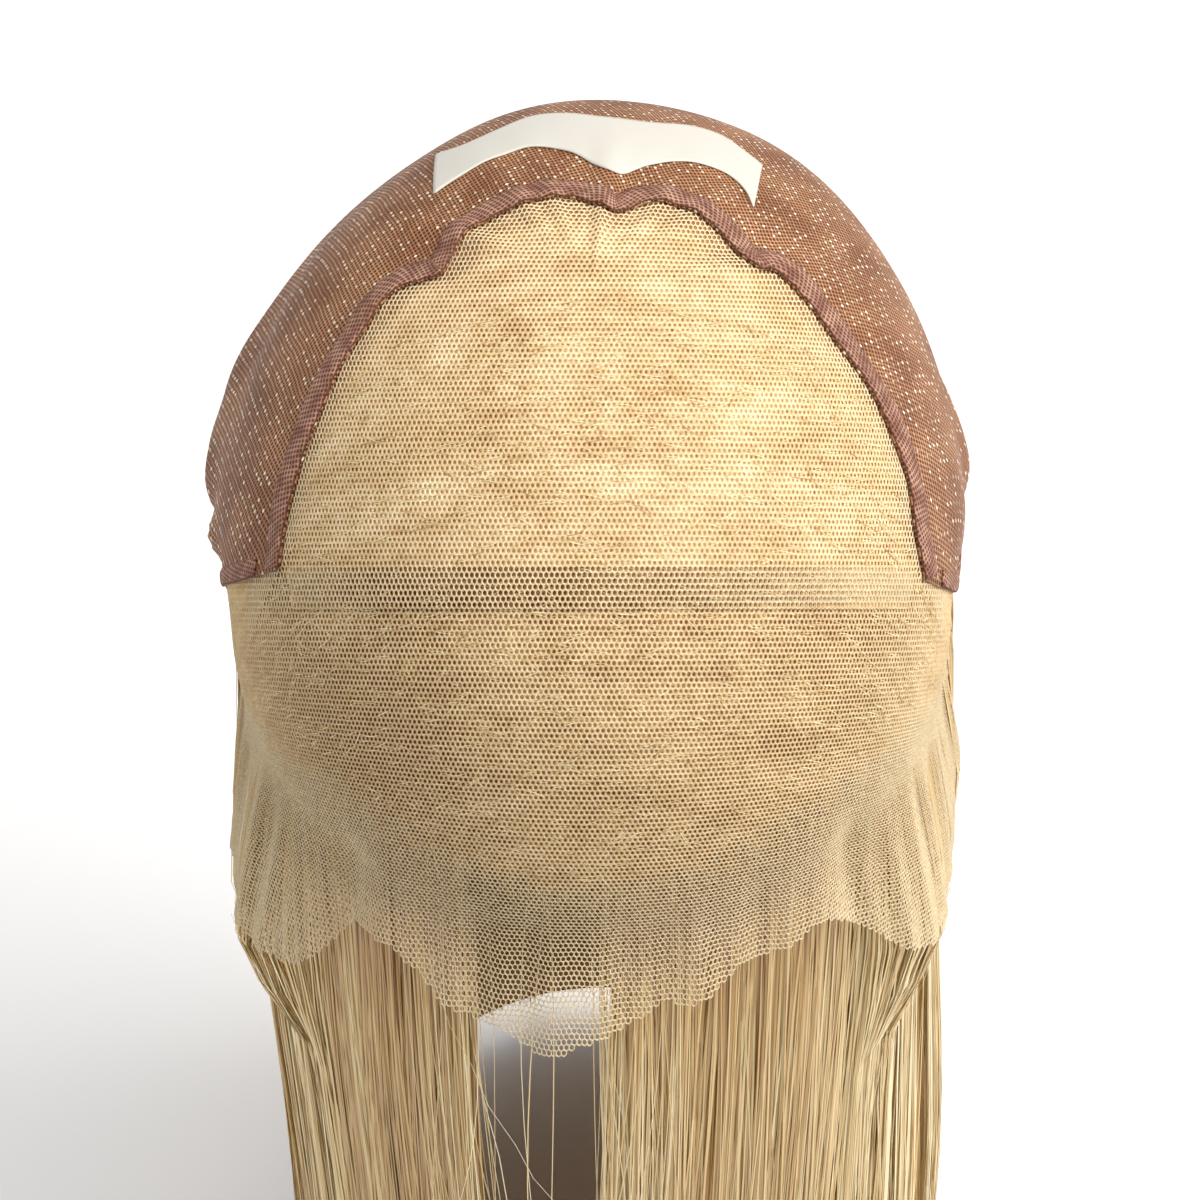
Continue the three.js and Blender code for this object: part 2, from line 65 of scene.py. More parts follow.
# azimuth, reach, rise as a share of the half width, and how wide (degrees) and long (reach) each dent is
dentRows = [(-114, 0.72, -0.024, 16, 0.07), (-108, 0.82, 0.02, 9, 0.045), (-97, 0.895, 0.03, 12, 0.045),
            (-92, 0.96, -0.016, 12, 0.045), (-80, 1.07, -0.03, 18, 0.11), (108, 0.84, -0.026, 10, 0.045),
            (99, 0.91, 0.018, 12, 0.045), (90, 0.97, -0.014, 12, 0.045), (80, 1.06, -0.026, 18, 0.1),
            (78, 1.3, 0.02, 14, 0.1), (-140, 0.64, -0.03, 22, 0.14), (140, 0.64, 0.024, 22, 0.14),
            (-117, 0.29, -0.014, 14, 0.07), (166, 0.2, -0.012, 14, 0.06), (108, 0.33, -0.01, 12, 0.06)]
pleatRows = [(-57, 0.02, 4), (-38, -0.032, 3), (-30, 0.028, 3.2), (-16, -0.014, 5), (-3, 0.022, 3.5), (8, -0.014, 3),
             (16, 0.014, 3), (24, -0.014, 3), (32, 0.016, 3), (42, -0.036, 3.4), (55, 0.018, 4)]
spreadRows = [(-180, 1.0), (-120, 0.97), (-90, 0.95), (-45, 0.93), (-18, 0.92), (6, 0.92), (45, 0.98), (90, 1.11),
              (120, 1.06), (180, 1.0)]


def smooth(x):
    x = np.clip(x, 0, 1)
    return x * x * (3 - 2 * x)


def mix(a, b, t):
    return a + (b - a) * t


def bell(x, wide):
    return np.exp(-(x / wide) ** 2)


def turned(degrees):
    return (degrees + 180) % 360 - 180


def along(rows, x):
    # a smooth curve through rows of key and value, held at its ends
    keys, values = np.array(rows, float)[:, :2].T
    slopes = np.empty_like(values)
    slopes[1:-1] = (values[2:] - values[:-2]) / (keys[2:] - keys[:-2])
    slopes[0] = (values[1] - values[0]) / (keys[1] - keys[0])
    slopes[-1] = (values[-1] - values[-2]) / (keys[-1] - keys[-2])
    x = np.clip(x, keys[0], keys[-1])
    i = np.clip(np.searchsorted(keys, x, "right") - 1, 0, len(keys) - 2)
    span = keys[i + 1] - keys[i]
    t = (x - keys[i]) / span
    line = mix(values[i], values[i + 1], smooth(t))
    return line + span * (slopes[i] * t * (1 - t) ** 2 - slopes[i + 1] * t * t * (1 - t))


def lineThrough(points):
    # a smooth line through places, as a function of its share of the way
    points = np.array(points, float)
    way = np.concatenate([[0], np.cumsum(np.hypot(*np.diff(points, axis=0).T))])
    dense = np.linspace(0, way[-1], 800)
    line = np.stack([along(np.stack([way, points[:, k]], 1), dense) for k in (0, 1)], 1)
    run = np.concatenate([[0], np.cumsum(np.hypot(*np.diff(line, axis=0).T))])
    return lambda s: np.stack([np.interp(np.asarray(s) * run[-1], run, line[:, k]) for k in (0, 1)], -1)


def polar(azimuth, reach):
    angle = np.radians(azimuth)
    return np.stack([reach * np.sin(angle), reach * np.cos(angle)], -1)


def azimuthOf(place):
    return np.degrees(np.arctan2(place[..., 0], place[..., 1]))


def reachOf(place):
    return np.hypot(place[..., 0], place[..., 1])


archLine = lineThrough(archRows)
rimLine = lineThrough([polar(a, r) for a, r in rimRows])
archDense = archLine(np.linspace(0, 1, 500))
archBehind = azimuthOf(archDense)
archBehind = np.where(archBehind > 0, archBehind - 360, archBehind)
archOrder = np.argsort(archBehind)


def insideArch(place):
    # millimetres in front of the net's edge, along the ray from the vertex; large past the ear tabs
    azimuth = azimuthOf(place)
    behind = np.where(azimuth > 0, azimuth - 360, azimuth)
    far = np.interp(behind, archBehind[archOrder], reachOf(archDense)[archOrder], left=9, right=9)
    return (far - reachOf(place)) * quarterArc


def belowSeam(place):
    return (place[..., 1] - seam["ahead"] + seam["bow"] * place[..., 0] ** 2) * quarterArc


def frontward(place):
    # past the seam, and past its run under the ear tabs
    azimuth = np.abs(azimuthOf(place))
    tucked = (azimuth > 66) & (reachOf(place) > 0.7 + 0.009 * (azimuth - 66))
    return (belowSeam(place) >= 0) | tucked


def belowTab(place):
    # millimetres in front of an ear tab's lower edge, and far behind it elsewhere
    across = np.abs(place[..., 0])
    left = np.interp(across, [0.594, 0.9945], [0.29, 0.1045])
    right = np.interp(across, [0.674, 0.9945], [0.277, 0.1045])
    edge = np.where(place[..., 0] < 0, left, right)
    return np.where(across > 0.54, (place[..., 1] - edge) * quarterArc, -99)


def belowHairline(place):
    return (reachOf(place) - along(hairlineRows, azimuthOf(place))) * quarterArc


# Small folds of the real cloth: gathers at the net's edge, and close pleats of the lace's two side lobes.
# azimuth, reach, rise in millimetres, and how wide and long each dent is
edgeDents = [(-90, 0.9, -2.3, 2.6, 0.05), (-86.2, 0.9, 1.2, 1.8, 0.04), (-81.5, 0.92, -3.4, 3.2, 0.06),
             (-76, 0.94, -1.8, 4, 0.06), (93, 0.908, -2.2, 3, 0.05), (88, 0.91, -1.2, 2.5, 0.05),
             (82, 0.92, -3.6, 3.4, 0.06), (77, 0.93, -2.2, 4, 0.06), (-84, 1.26, -4.8, 18, 0.32),
             (84, 1.24, -3.0, 18, 0.3)]
folds = {"gatherRise": 0.65, "gatherIn": 13.0, "gatherOut": 22.0, "lobeRise": 0.7, "fanRise": 0.35}


def ripples(place):
    azimuth, reach = azimuthOf(place), reachOf(place)
    inside = insideArch(place)
    fade = np.where(inside > 0, bell(inside, folds["gatherIn"]), bell(inside, folds["gatherOut"]))
    wave = np.sin(np.radians(azimuth * 11)) + 0.7 * np.sin(np.radians(azimuth * 17 + 40)) \
        + 0.5 * np.sin(np.radians(azimuth * 29 + 110))
    rise = folds["gatherRise"] * wave * fade * smooth((np.abs(turned(azimuth)) - 50) / 20) * 0.6
    lobes = smooth((np.abs(azimuth) - 40) / 8) * smooth((94 - np.abs(azimuth)) / 6) * smooth((reach - 1.0) / 0.16)
    rise = rise + folds["lobeRise"] * lobes * (np.sin(np.radians(azimuth * 68)) * 0.6
                                               + np.sin(np.radians(azimuth * 43 + 70)) * 0.6)
    fan = smooth((38 - np.abs(azimuth - 3)) / 8) * smooth((reach - 0.92) / 0.2)
    rise = rise + folds["fanRise"] * fan * np.sin(np.radians(azimuth * 52 + 30 * reach))
    for a, r, high, wide, long in edgeDents:
        rise = rise + high * bell(turned(azimuth - a), wide) * bell(reach - r, long)
    return rise


def formPoints(place, isLace=True, rippled=False):
    across, ahead = place[..., 0], place[..., 1]
    reach = np.maximum(reachOf(place), 1e-6)
    azimuth = azimuthOf(place)
    sine, cosine = across / reach, ahead / reach
    fall = np.maximum(reach - 1, 0) * quarterArc
    eased = cap["leanRun"] * np.tanh(fall / cap["leanRun"])
    ramp = eased * eased / (eased + cap["leanEase"]) / cap["height"]
    lean = cap["marginLean"] * np.maximum(cosine, 0) ** 1.5 if isLace else 0
    tuck = cap["sideTuck"] * sine * sine + cap["napeTuck"] * np.maximum(-cosine, 0)
    dome = np.sin(np.minimum(reach, 1) * math.pi / 2)
    onDome = reach < 1
    radial = np.where(onDome, dome, 1 + ramp * (lean - tuck))
    depth = np.where(cosine > 0, cap["frontDepth"], cap["backDepth"])
    level = np.where(onDome, cap["height"] * np.cos(reach * math.pi / 2), -fall)
    rise = 0
    for a, r, high, wide, long in dentRows:
        rise = rise + high * bell(turned(azimuth - a), wide) * bell(reach - r, long)
    if isLace:
        deep = smooth((reach - along(hairlineRows, azimuth)) / cap["pleatRun"])
        for a, high, wide in pleatRows:
            rise = rise + high * bell(azimuth - a, wide) * deep
    rise = rise * cap["halfWidth"]
    if rippled:
        rise = rise + ripples(place)
    up = np.where(onDome, level / cap["height"], 0)
    return np.stack([cap["halfWidth"] * sine * radial + sine * dome * rise,
                     -depth * cosine * radial - cosine * dome * rise,
                     ringLevel + level + up * rise], -1)


def capPoints(place, height, isLace=True, rippled=False):
    # points at a height over the cap's form, square to it
    place = np.asarray(place, float)
    step = cap["slopeStep"]
    wide = formPoints(place + [step, 0], isLace, rippled) - formPoints(place - [step, 0], isLace, rippled)
    long = formPoints(place - [0, step], isLace, rippled) - formPoints(place + [0, step], isLace, rippled)
    normal = np.cross(wide, long)
    normal /= np.linalg.norm(normal, axis=-1, keepdims=True)
    return formPoints(place, isLace, rippled) + normal * np.asarray(height, float)[..., None]


def noiseField(wide, tall, seed, octaves=3):
    # seeded noise over the map, for what has to agree between pieces; wide and tall in millimetres
    source, side = np.random.default_rng(seed), 97
    grids = [(source.random((side, side)), 2.0 ** octave) for octave in range(octaves)]

    def field(place):
        total, weight = 0, 0
        for grid, factor in grids:
            x = place[..., 0] * quarterArc / wide * factor + 31.7
            y = place[..., 1] * quarterArc / tall * factor + 17.3
            i, j = np.floor(x).astype(int), np.floor(y).astype(int)
            u, v = smooth(x - i), smooth(y - j)
            low = mix(grid[i % side, j % side], grid[(i + 1) % side, j % side], u)
            high = mix(grid[i % side, (j + 1) % side], grid[(i + 1) % side, (j + 1) % side], u)
            total = total + mix(low, high, v) / factor
            weight += 1 / factor
        return total / weight
    return field


# The view, in the proportions of the photograph: millimetres and degrees.
view = {"elevation": 55.0, "distance": 1500.0, "frameWidth": 273.6, "right": 2.28, "down": 10.9, "sensor": 36.0}
tilt = math.radians(view["elevation"])
lookBack = np.array([0, -math.cos(tilt), math.sin(tilt)])
lookUp = np.array([0, math.sin(tilt), math.cos(tilt)])
aim = np.array([0, 0, ringLevel])
camera = bpy.data.objects.new("camera", bpy.data.cameras.new("camera"))
bpy.context.collection.objects.link(camera)
camera.location = Vector((aim + lookBack * view["distance"] - lookUp * view["down"] + [view["right"], 0, 0]) * mm)
camera.rotation_euler = (math.radians(90) - tilt, 0, 0)
camera.data.sensor_width = view["sensor"]
camera.data.lens = view["sensor"] * view["distance"] / view["frameWidth"]
camera.data.clip_start, camera.data.clip_end = 0.05, 20
bpy.context.scene.camera = camera


def framePlace(points):
    # where points stand in the photograph's frame, in shares of its width from the top left
    offset = points - aim
    near = offset @ lookBack
    scale = view["distance"] / (view["distance"] - near) / view["frameWidth"]
    x = 0.5 + (offset[..., 0] - view["right"]) * scale
    y = 0.5 - (offset @ lookUp + view["down"]) * scale
    return x, y


# Soft patches of lighter and darker hair under the lace, placed in thousandths of the frame.
mottles = [(375, 275, 29, 25, 0.8), (475, 250, 20, 12, 0.5), (467, 317, 25, 33, 0.7), (375, 400, 33, 20, 0.8),
           (533, 400, 50, 17, 0.8), (633, 350, 42, 25, 0.7), (300, 433, 33, 25, 0.8), (700, 433, 33, 25, 0.7),
           (392, 454, 42, 12, 0.8), (683, 287, 17, 15, 0.6), (492, 196, 50, 12, 0.6), (617, 400, 33, 15, 0.7),
           (417, 542, 25, 33, 0.7), (575, 575, 42, 33, 0.8), (433, 600, 33, 17, 0.6), (533, 617, 58, 21, 0.8),
           (275, 517, 25, 21, 0.7), (667, 650, 42, 17, 0.7), (483, 717, 42, 12, 0.6), (408, 667, 25, 10, 0.6),
           (742, 658, 25, 33, 0.8), (215, 590, 17, 50, 0.5), (240, 640, 60, 110, -1.6), (320, 590, 60, 80, -0.8),
           (479, 221, 21, 15, -0.8), (517, 275, 29, 21, -0.9), (546, 325, 21, 21, -0.8), (392, 354, 33, 21, -0.9),
           (492, 321, 14, 17, -0.7), (617, 300, 21, 20, -0.7), (433, 275, 17, 21, -0.5), (583, 242, 17, 14, -0.6),
           (471, 425, 25, 12, -0.9), (508, 454, 33, 15, -0.9), (350, 367, 21, 21, -0.6), (542, 367, 21, 17, -0.6),
           (633, 250, 17, 12, -0.5), (642, 454, 25, 10, -0.9), (667, 367, 21, 17, -0.6), (358, 567, 29, 33, -0.9),
           (250, 567, 21, 25, -0.7), (317, 633, 42, 33, -0.8), (467, 542, 15, 25, -0.8), (533, 550, 15, 25, -0.7),
           (467, 633, 25, 21, -0.8), (583, 533, 17, 15, -0.7), (692, 533, 25, 21, -0.8), (375, 650, 50, 25, -0.7),
           (708, 583, 33, 17, -0.9), (658, 617, 42, 12, -1.0), (517, 667, 25, 12, -0.6), (617, 683, 25, 12, -0.7)]
broadNoise, fineNoise, bandNoise = noiseField(15, 11, 3), noiseField(4.2, 2.6, 5), noiseField(26, 3.0, 9)


def toneAt(place):
    # 0 in the darkest hair to 1 in the lightest
    x, y = framePlace(formPoints(place))
    tone = 0.5 + 0.3 * (broadNoise(place) - 0.5) + 0.6 * (fineNoise(place) - 0.5) + 0.5 * (bandNoise(place) - 0.5)
    for px, py, wide, tall, strength in mottles:
        tone = tone + 0.26 * strength * bell((x * 1000 - px) / wide, 1) * bell((y * 1000 - py) / tall, 1)
    return np.clip(tone - 0.2 * smooth((belowSeam(place) + 2) / 6), 0, 1)


def opennessAt(place):
    # 1 where the lace has no hair knotted into it: beside the net's hem, in the seam, and below the hairline
    inside = insideArch(place)
    besideHem = smooth((9 - inside) / 6) * smooth((inside + 30) / 10)
    inSeam = smooth((5.2 - np.abs(belowSeam(place))) / 1.6) * smooth((0.72 - np.abs(place[..., 0])) / 0.1)
    fringe = (fineNoise(place) - 0.5) * 12
    front = 0.3 * smooth((belowSeam(place) + 2) / 6)
    bare = smooth((belowHairline(place) + fringe + 7) / 14)
    return np.maximum.reduce([besideHem * 0.8, inSeam * 0.7, front, bare])


def makeMesh(name, points, faces, uv=None, attributes=None):
    mesh = bpy.data.meshes.new(name)
    faces = np.asarray(faces)
    corners = faces.shape[1]
    mesh.vertices.add(len(points))
    mesh.vertices.foreach_set("co", (np.asarray(points, float) * mm).ravel())
    mesh.loops.add(faces.size)
    mesh.loops.foreach_set("vertex_index", faces.ravel().astype(np.int32))
    mesh.polygons.add(len(faces))
    mesh.polygons.foreach_set("loop_start", np.arange(0, faces.size, corners, dtype=np.int32))
    mesh.polygons.foreach_set("use_smooth", np.ones(len(faces), bool))
    mesh.update(calc_edges=True)
    if uv is not None:
        layer = mesh.uv_layers.new(name="flat")
        layer.data.foreach_set("uv", np.asarray(uv, float)[faces.ravel()].ravel())
    for key, values in (attributes or {}).items():
        layer = mesh.attributes.new(key, "FLOAT", "POINT")
        layer.data.foreach_set("value", np.asarray(values, np.float32))
    piece = bpy.data.objects.new(name, mesh)
    bpy.context.collection.objects.link(piece)
    return piece


def gridFaces(columns, rows, closed=False):
    i, j = np.meshgrid(np.arange(columns), np.arange(rows), indexing="ij")
    wrap = columns if closed else columns + 1
    a, b = i * (rows + 1) + j, (i + 1) % wrap * (rows + 1) + j
    return np.stack([a, a + 1, b + 1, b], -1).reshape(-1, 4)


def shell(name, columns, rows, pointsAt, uvAt=None, attributesAt=None):
    # a closed wall over a grid: pointsAt gives its outer and its inner points
    s, w = np.meshgrid(np.linspace(0, 1, columns + 1), np.linspace(0, 1, rows + 1), indexing="ij")
    outer, inner = pointsAt(s, w)
    count = outer.shape[0] * outer.shape[1]
    faces = [gridFaces(columns, rows), gridFaces(columns, rows)[:, ::-1] + count]
    for line, turn in ((np.arange(columns + 1) * (rows + 1), 1), (np.arange(columns + 1) * (rows + 1) + rows, -1),
                       (np.arange(rows + 1), -1), (np.arange(rows + 1) + columns * (rows + 1), 1)):
        a, b = line[:-1], line[1:]
        faces.append(np.stack([a, b, b + count, a + count], -1)[:, ::turn])
    points = np.concatenate([outer.reshape(-1, 3), inner.reshape(-1, 3)])
    uv = None if uvAt is None else np.tile(uvAt(s, w).reshape(-1, 2), (2, 1))
    attributes = {key: np.tile(np.broadcast_to(values, s.shape).ravel(), 2)
                  for key, values in (attributesAt(s, w) if attributesAt else {}).items()}
    return makeMesh(name, points, np.concatenate(faces), uv, attributes)


# The lace's holes stand in rows and columns, this far apart on the cloth.
lattice = {"pitch": 1.17, "rowGap": 1.22, "tiltTop": 55.0, "tiltLow": 27.0, "tiltFrom": 0.46, "tiltTo": 1.2,
           "firstAhead": -0.3, "lastAhead": 1.36, "columns": 150, "jitter": 0.06}


def latticeTable():
    # each row of the lace lies in a plane, whose tilt eases from the view's to nearly level at the lower edge
    aheads = np.arange(lattice["firstAhead"], lattice["lastAhead"], lattice["rowGap"] / quarterArc)
    acrosses, depths = np.linspace(-1.42, 1.42, 285), np.linspace(1.6, -0.5, 500)
    points = formPoints(np.stack(np.meshgrid(acrosses, depths, indexing="ij"), -1))
    middle = formPoints(np.stack([np.zeros_like(aheads), aheads], -1))
    columns = np.arange(-lattice["columns"], lattice["columns"] + 1)
    table = np.zeros((len(aheads), len(columns), 2))
    for k, ahead in enumerate(aheads):
        share = smooth((ahead - lattice["tiltFrom"]) / (lattice["tiltTo"] - lattice["tiltFrom"]))
        lean = math.radians(mix(lattice["tiltTop"], lattice["tiltLow"], share))
        level = points[..., 1] * math.sin(lean) + points[..., 2] * math.cos(lean)
        target = middle[k, 1] * math.sin(lean) + middle[k, 2] * math.cos(lean)
        rising = np.maximum.accumulate(level, axis=1) + np.arange(500) * 1e-7
        curve = np.stack([acrosses, [np.interp(target, line, depths) for line in rising]], -1)
        steps = np.linalg.norm(np.diff(formPoints(curve), axis=0), axis=1)
        run = np.concatenate([[0], np.cumsum(steps)])
        run -= np.interp(0, acrosses, run)
        for axis in (0, 1):
            table[k, :, axis] = np.interp(columns * lattice["pitch"], run, curve[:, axis])
    return table


rowTable = latticeTable()
print("rows and columns of lace:", rowTable.shape[:2])


def latticePlace(row, column):
    row = np.clip(row, 0, rowTable.shape[0] - 1.001)
    column = np.clip(column + lattice["columns"], 0, rowTable.shape[1] - 1.001)
    i, j = np.floor(row).astype(int), np.floor(column).astype(int)
    u, v = (row - i)[..., None], (column - j)[..., None]
    return mix(mix(rowTable[i, j], rowTable[i + 1, j], u), mix(rowTable[i, j + 1], rowTable[i + 1, j + 1], u), v)


# a cell's corners, in thirds of a row and halves of a column
hexCorners = [(2, 0), (1, 1), (-1, 1), (-2, 0), (-1, -1), (1, -1)]
clothArea = {}  # each lace's own cloth, in square metres


def honeycomb(name, keep, low, high, holeAt, seed, shift=(0.0, 0.0)):
    # threads round the holes of a lace: ridges between the cells, sloping down to each hole
    rows, half = rowTable.shape[0] - 2, lattice["columns"] - 2
    r, c = np.meshgrid(np.arange(1, rows), np.arange(-half, half), indexing="ij")
    doubled = 2 * c + (r & 1)
    centre = latticePlace(r + shift[0], doubled / 2 + shift[1])
    inside = keep(centre)
    sides = [(1, 0), (0, 1), (-1, 0), (-1, -1), (0, -1), (1, -1)]  # the neighbour past each side

    def beside(dr, dc):
        odd = r & 1
        column = c + dc if dr == 0 else c + np.where(odd == 1, dc + 1, dc)
        rr, cc = r + dr - 1, column + half
        ok = (rr >= 0) & (rr < inside.shape[0]) & (cc >= 0) & (cc < inside.shape[1])
        return ok & inside[np.clip(rr, 0, inside.shape[0] - 1), np.clip(cc, 0, inside.shape[1] - 1)]

    source = np.random.default_rng(seed)
    hole = holeAt(centre) * (1 + lattice["jitter"] * 2 * (source.random(centre.shape[:2]) - 0.5))
    ridgeKeys, holePoints, quads, corners = [], [], [], []
    for dr, dc in hexCorners:
        key = np.stack([3 * r + dr, doubled + dc], -1)
        spot = latticePlace((3 * r + dr) / 3 + shift[0], (doubled + dc) / 2 + shift[1])
        corners.append((key, centre + (spot - centre) * hole[..., None]))
    for k in range(6):
        wanted = inside | beside(*sides[k])
        (keyA, holeA), (keyB, holeB) = corners[k], corners[(k + 1) % 6]
        ridgeKeys += [keyA[wanted], keyB[wanted]]
        holePoints += [holeB[wanted], holeA[wanted]]
        quads.append(int(wanted.sum()))
    keys = np.concatenate(ridgeKeys)
    unique, index = np.unique(keys, axis=0, return_inverse=True)
    index = index.ravel()
    wobble = (source.random(unique.shape) - 0.5) * 2 * lattice["jitter"]
    ridge = latticePlace(unique[:, 0] / 3 + shift[0] + wobble[:, 0], unique[:, 1] / 2 + shift[1] + wobble[:, 1])
    holes = np.concatenate(holePoints)
    heldPlaces, holeIndex = np.unique(np.round(holes, 6), axis=0, return_inverse=True)
    holeIndex = holeIndex.ravel() + len(ridge)
    faces, at = [], 0
    for count in quads:
        ridges, holeEdge = index[at:at + 2 * count].reshape(2, -1), holeIndex[at:at + 2 * count].reshape(2, -1)
        faces.append(np.stack([*ridges, *holeEdge], -1))
        at += 2 * count
    places = np.concatenate([ridge, heldPlaces])
    heights = np.concatenate([np.full(len(ridge), high), np.full(len(heldPlaces), low)])
    points = capPoints(places, heights, rippled=True)
    attributes = {"tone": toneAt(places), "open": opennessAt(places)}
    piece = makeMesh(name, points, np.concatenate(faces), places * quarterArc * mm, attributes)
    print(name, "cells", int(inside.sum()), "triangles", 2 * sum(quads))
    ring = [formPoints(latticePlace((3 * r + dr) / 3 + shift[0], (doubled + dc) / 2 + shift[1])[inside])
            for dr, dc in hexCorners]
    middle = formPoints(centre[inside])
    clothArea[name] = 0.5 * mm * mm * sum(
        np.linalg.norm(np.cross(ring[k] - middle, ring[(k + 1) % 6] - middle), axis=-1).sum() for k in range(6))
    return piece


def tint(*seen):
    # a colour as eyes see it, 0 to 255, to the shader's own scale
    return tuple(((v / 255 + 0.055) / 1.055) ** 2.4 if v > 10 else v / 255 / 12.92 for v in seen) + (1.0,)


class Wire:
    # a socket that adds nodes as it is used in an expression
    def __init__(self, shader, socket):
        self.shader, self.socket = shader, socket

    def maths(self, operation, *others, clamp=False):
        sockets = dict(enumerate((self,) + others))
        return self.shader.node("ShaderNodeMath", {"operation": operation, "use_clamp": clamp}, sockets)

    def __add__(self, other):
        return self.maths("ADD", other)

    __radd__ = __add__

    def __sub__(self, other):
        return self.maths("SUBTRACT", other)

    def __rsub__(self, other):
        return self.shader.node("ShaderNodeMath", {"operation": "SUBTRACT"}, {0: other, 1: self})

    def __mul__(self, other):
        return self.maths("MULTIPLY", other)

    __rmul__ = __mul__

    def __truediv__(self, other):
        return self.maths("DIVIDE", other)

    def sine(self):
        return self.maths("SINE")

    def size(self):
        return self.maths("ABSOLUTE")

    def held(self):
        return self.maths("ADD", 0.0, clamp=True)

    def part(self, low, high):
        # 0 at low to 1 at high, eased and held
        settings = {"interpolation_type": "SMOOTHSTEP"}
        return self.shader.node("ShaderNodeMapRange", settings, {0: self, 1: low, 2: high})


class Shader:
    def __init__(self, name, roughness=0.6, **fixed):
        self.material = bpy.data.materials.new(name)
        self.material.use_nodes = True
        self.tree = self.material.node_tree
        self.surface = self.tree.nodes["Principled BSDF"]
        self.surface.inputs["Roughness"].default_value = roughness
        for key, value in fixed.items():
            self.surface.inputs[key.replace("_", " ")].default_value = value

    def node(self, kind, settings=None, sockets=None, output=0):
        made = self.tree.nodes.new(kind)
        for key, value in (settings or {}).items():
            if key == "stops":
                ramp = made.color_ramp
                while len(ramp.elements) < len(value):
                    ramp.elements.new(1.0)
                for element, (position, colour) in zip(ramp.elements, value):
                    element.position, element.color = position, colour
            else:
                setattr(made, key, value)
        for key, value in (sockets or {}).items():
            if isinstance(value, Wire):
                self.tree.links.new(value.socket, made.inputs[key])
            else:
                made.inputs[key].default_value = value
        return Wire(self, made.outputs[output])

    def uv(self, scaleX=1.0, scaleY=1.0):
        mapped = self.node("ShaderNodeUVMap", {"uv_map": "flat"})
        return self.node("ShaderNodeVectorMath", {"operation": "MULTIPLY"}, {0: mapped, 1: (scaleX, scaleY, 1.0)})

    def parts(self, vector):
        split = self.node("ShaderNodeSeparateXYZ", {}, {0: vector})
        return split, Wire(self, split.socket.node.outputs[1])

    def noise(self, vector, scale, detail=3.0, roughness=0.55):
        return self.node("ShaderNodeTexNoise", {}, {"Vector": vector, "Scale": scale, "Detail": detail,
                                                    "Roughness": roughness})

    def attribute(self, name):
        return self.node("ShaderNodeAttribute", {"attribute_name": name}, {}, "Fac")

    def blend(self, a, b, factor):
        return self.node("ShaderNodeMix", {"data_type": "RGBA"}, {0: factor, 6: a, 7: b}, 2)

    def ramp(self, factor, stops):
        return self.node("ShaderNodeValToRGB", {"stops": stops}, {"Fac": factor})

    def bump(self, height, strength=0.5, distance=0.0004):
        return self.node("ShaderNodeBump", {}, {"Strength": strength, "Distance": distance, "Height": height})

    def finish(self, **links):
        for key, value in links.items():
            self.tree.links.new(value.socket, self.surface.inputs[key.replace("_", " ")])
        return self.material


hairTints = {"deep": tint(132, 86, 46), "dark": tint(186, 140, 90), "mid": tint(220, 184, 132),
             "light": tint(242, 218, 172)}


def laceMaterial():
    shader = Shader("knotted lace", 0.7, Specular_IOR_Level=0.25)
    tone, free = shader.attribute("tone"), shader.attribute("open")
    grain = shader.noise(shader.uv(1100, 1100), 1.0, 2.0)
    shade = (tone * 0.7 + grain * 0.8 - 0.25).held()
    knotted = shader.ramp(shade, [(0.0, tint(186, 150, 104)), (0.35, tint(214, 184, 136)),
                                  (0.65, tint(231, 205, 162)), (1.0, tint(250, 234, 200))])
    bare = shader.ramp(grain, [(0.2, tint(198, 172, 130)), (0.8, tint(242, 224, 188))])
    return shader.finish(Base_Color=shader.blend(knotted, bare, free))


def matMaterial():
    shader = Shader("hair under the lace", 0.55, Specular_IOR_Level=0.35)
    tone, free = shader.attribute("tone"), shader.attribute("open")
    streaks = shader.noise(shader.uv(160, 1100), 1.0, 4.0, 0.65)
    knots = shader.noise(shader.uv(1300, 1300), 1.0, 2.0)
    # painted shade: the hair under the lace is darker where the lace is open (in the seam, beside the hem, below the
    # hairline), standing for the shade seen through bare holes
    shade = (tone * 0.75 + (streaks - 0.5) * 0.8 + (knots - 0.5) * 0.6 - free * 0.24).held()
    colour = shader.ramp(shade, [(0.0, hairTints["deep"]), (0.3, hairTints["dark"]), (0.6, hairTints["mid"]),
                                 (1.0, hairTints["light"])])
    flecks = shader.noise(shader.uv(420, 520), 1.0, 1.0).part(0.68, 0.74)
    colour = shader.blend(colour, tint(116, 72, 40), flecks * 0.7)
    return shader.finish(Base_Color=colour, Normal=shader.bump(streaks, 0.5))


def bodyMaterial():
    shader = Shader("mass of the hair", 0.55, Specular_IOR_Level=0.3)
    shade, down = shader.attribute("shade"), shader.attribute("down")
    streaks = shader.noise(shader.uv(2.6, 3.0), 1.0, 3.0, 0.6)
    fine = shader.noise(shader.uv(7.0, 4.0), 1.0, 2.0)
    # painted shade: the mass is darker near the hairline, where the lace margin shades it, and lighter further down
    level = (shade * 0.8 + (streaks - 0.5) * 0.8 + (fine - 0.5) * 0.5 + down.part(0.05, 0.4) * 0.3 - 0.3).held()
    colour = shader.ramp(level, [(0.0, tint(150, 104, 50)), (0.4, tint(194, 152, 88)), (0.75, tint(220, 190, 130)),
                                 (1.0, tint(238, 220, 172))])
    return shader.finish(Base_Color=colour, Normal=shader.bump(streaks, 0.4))


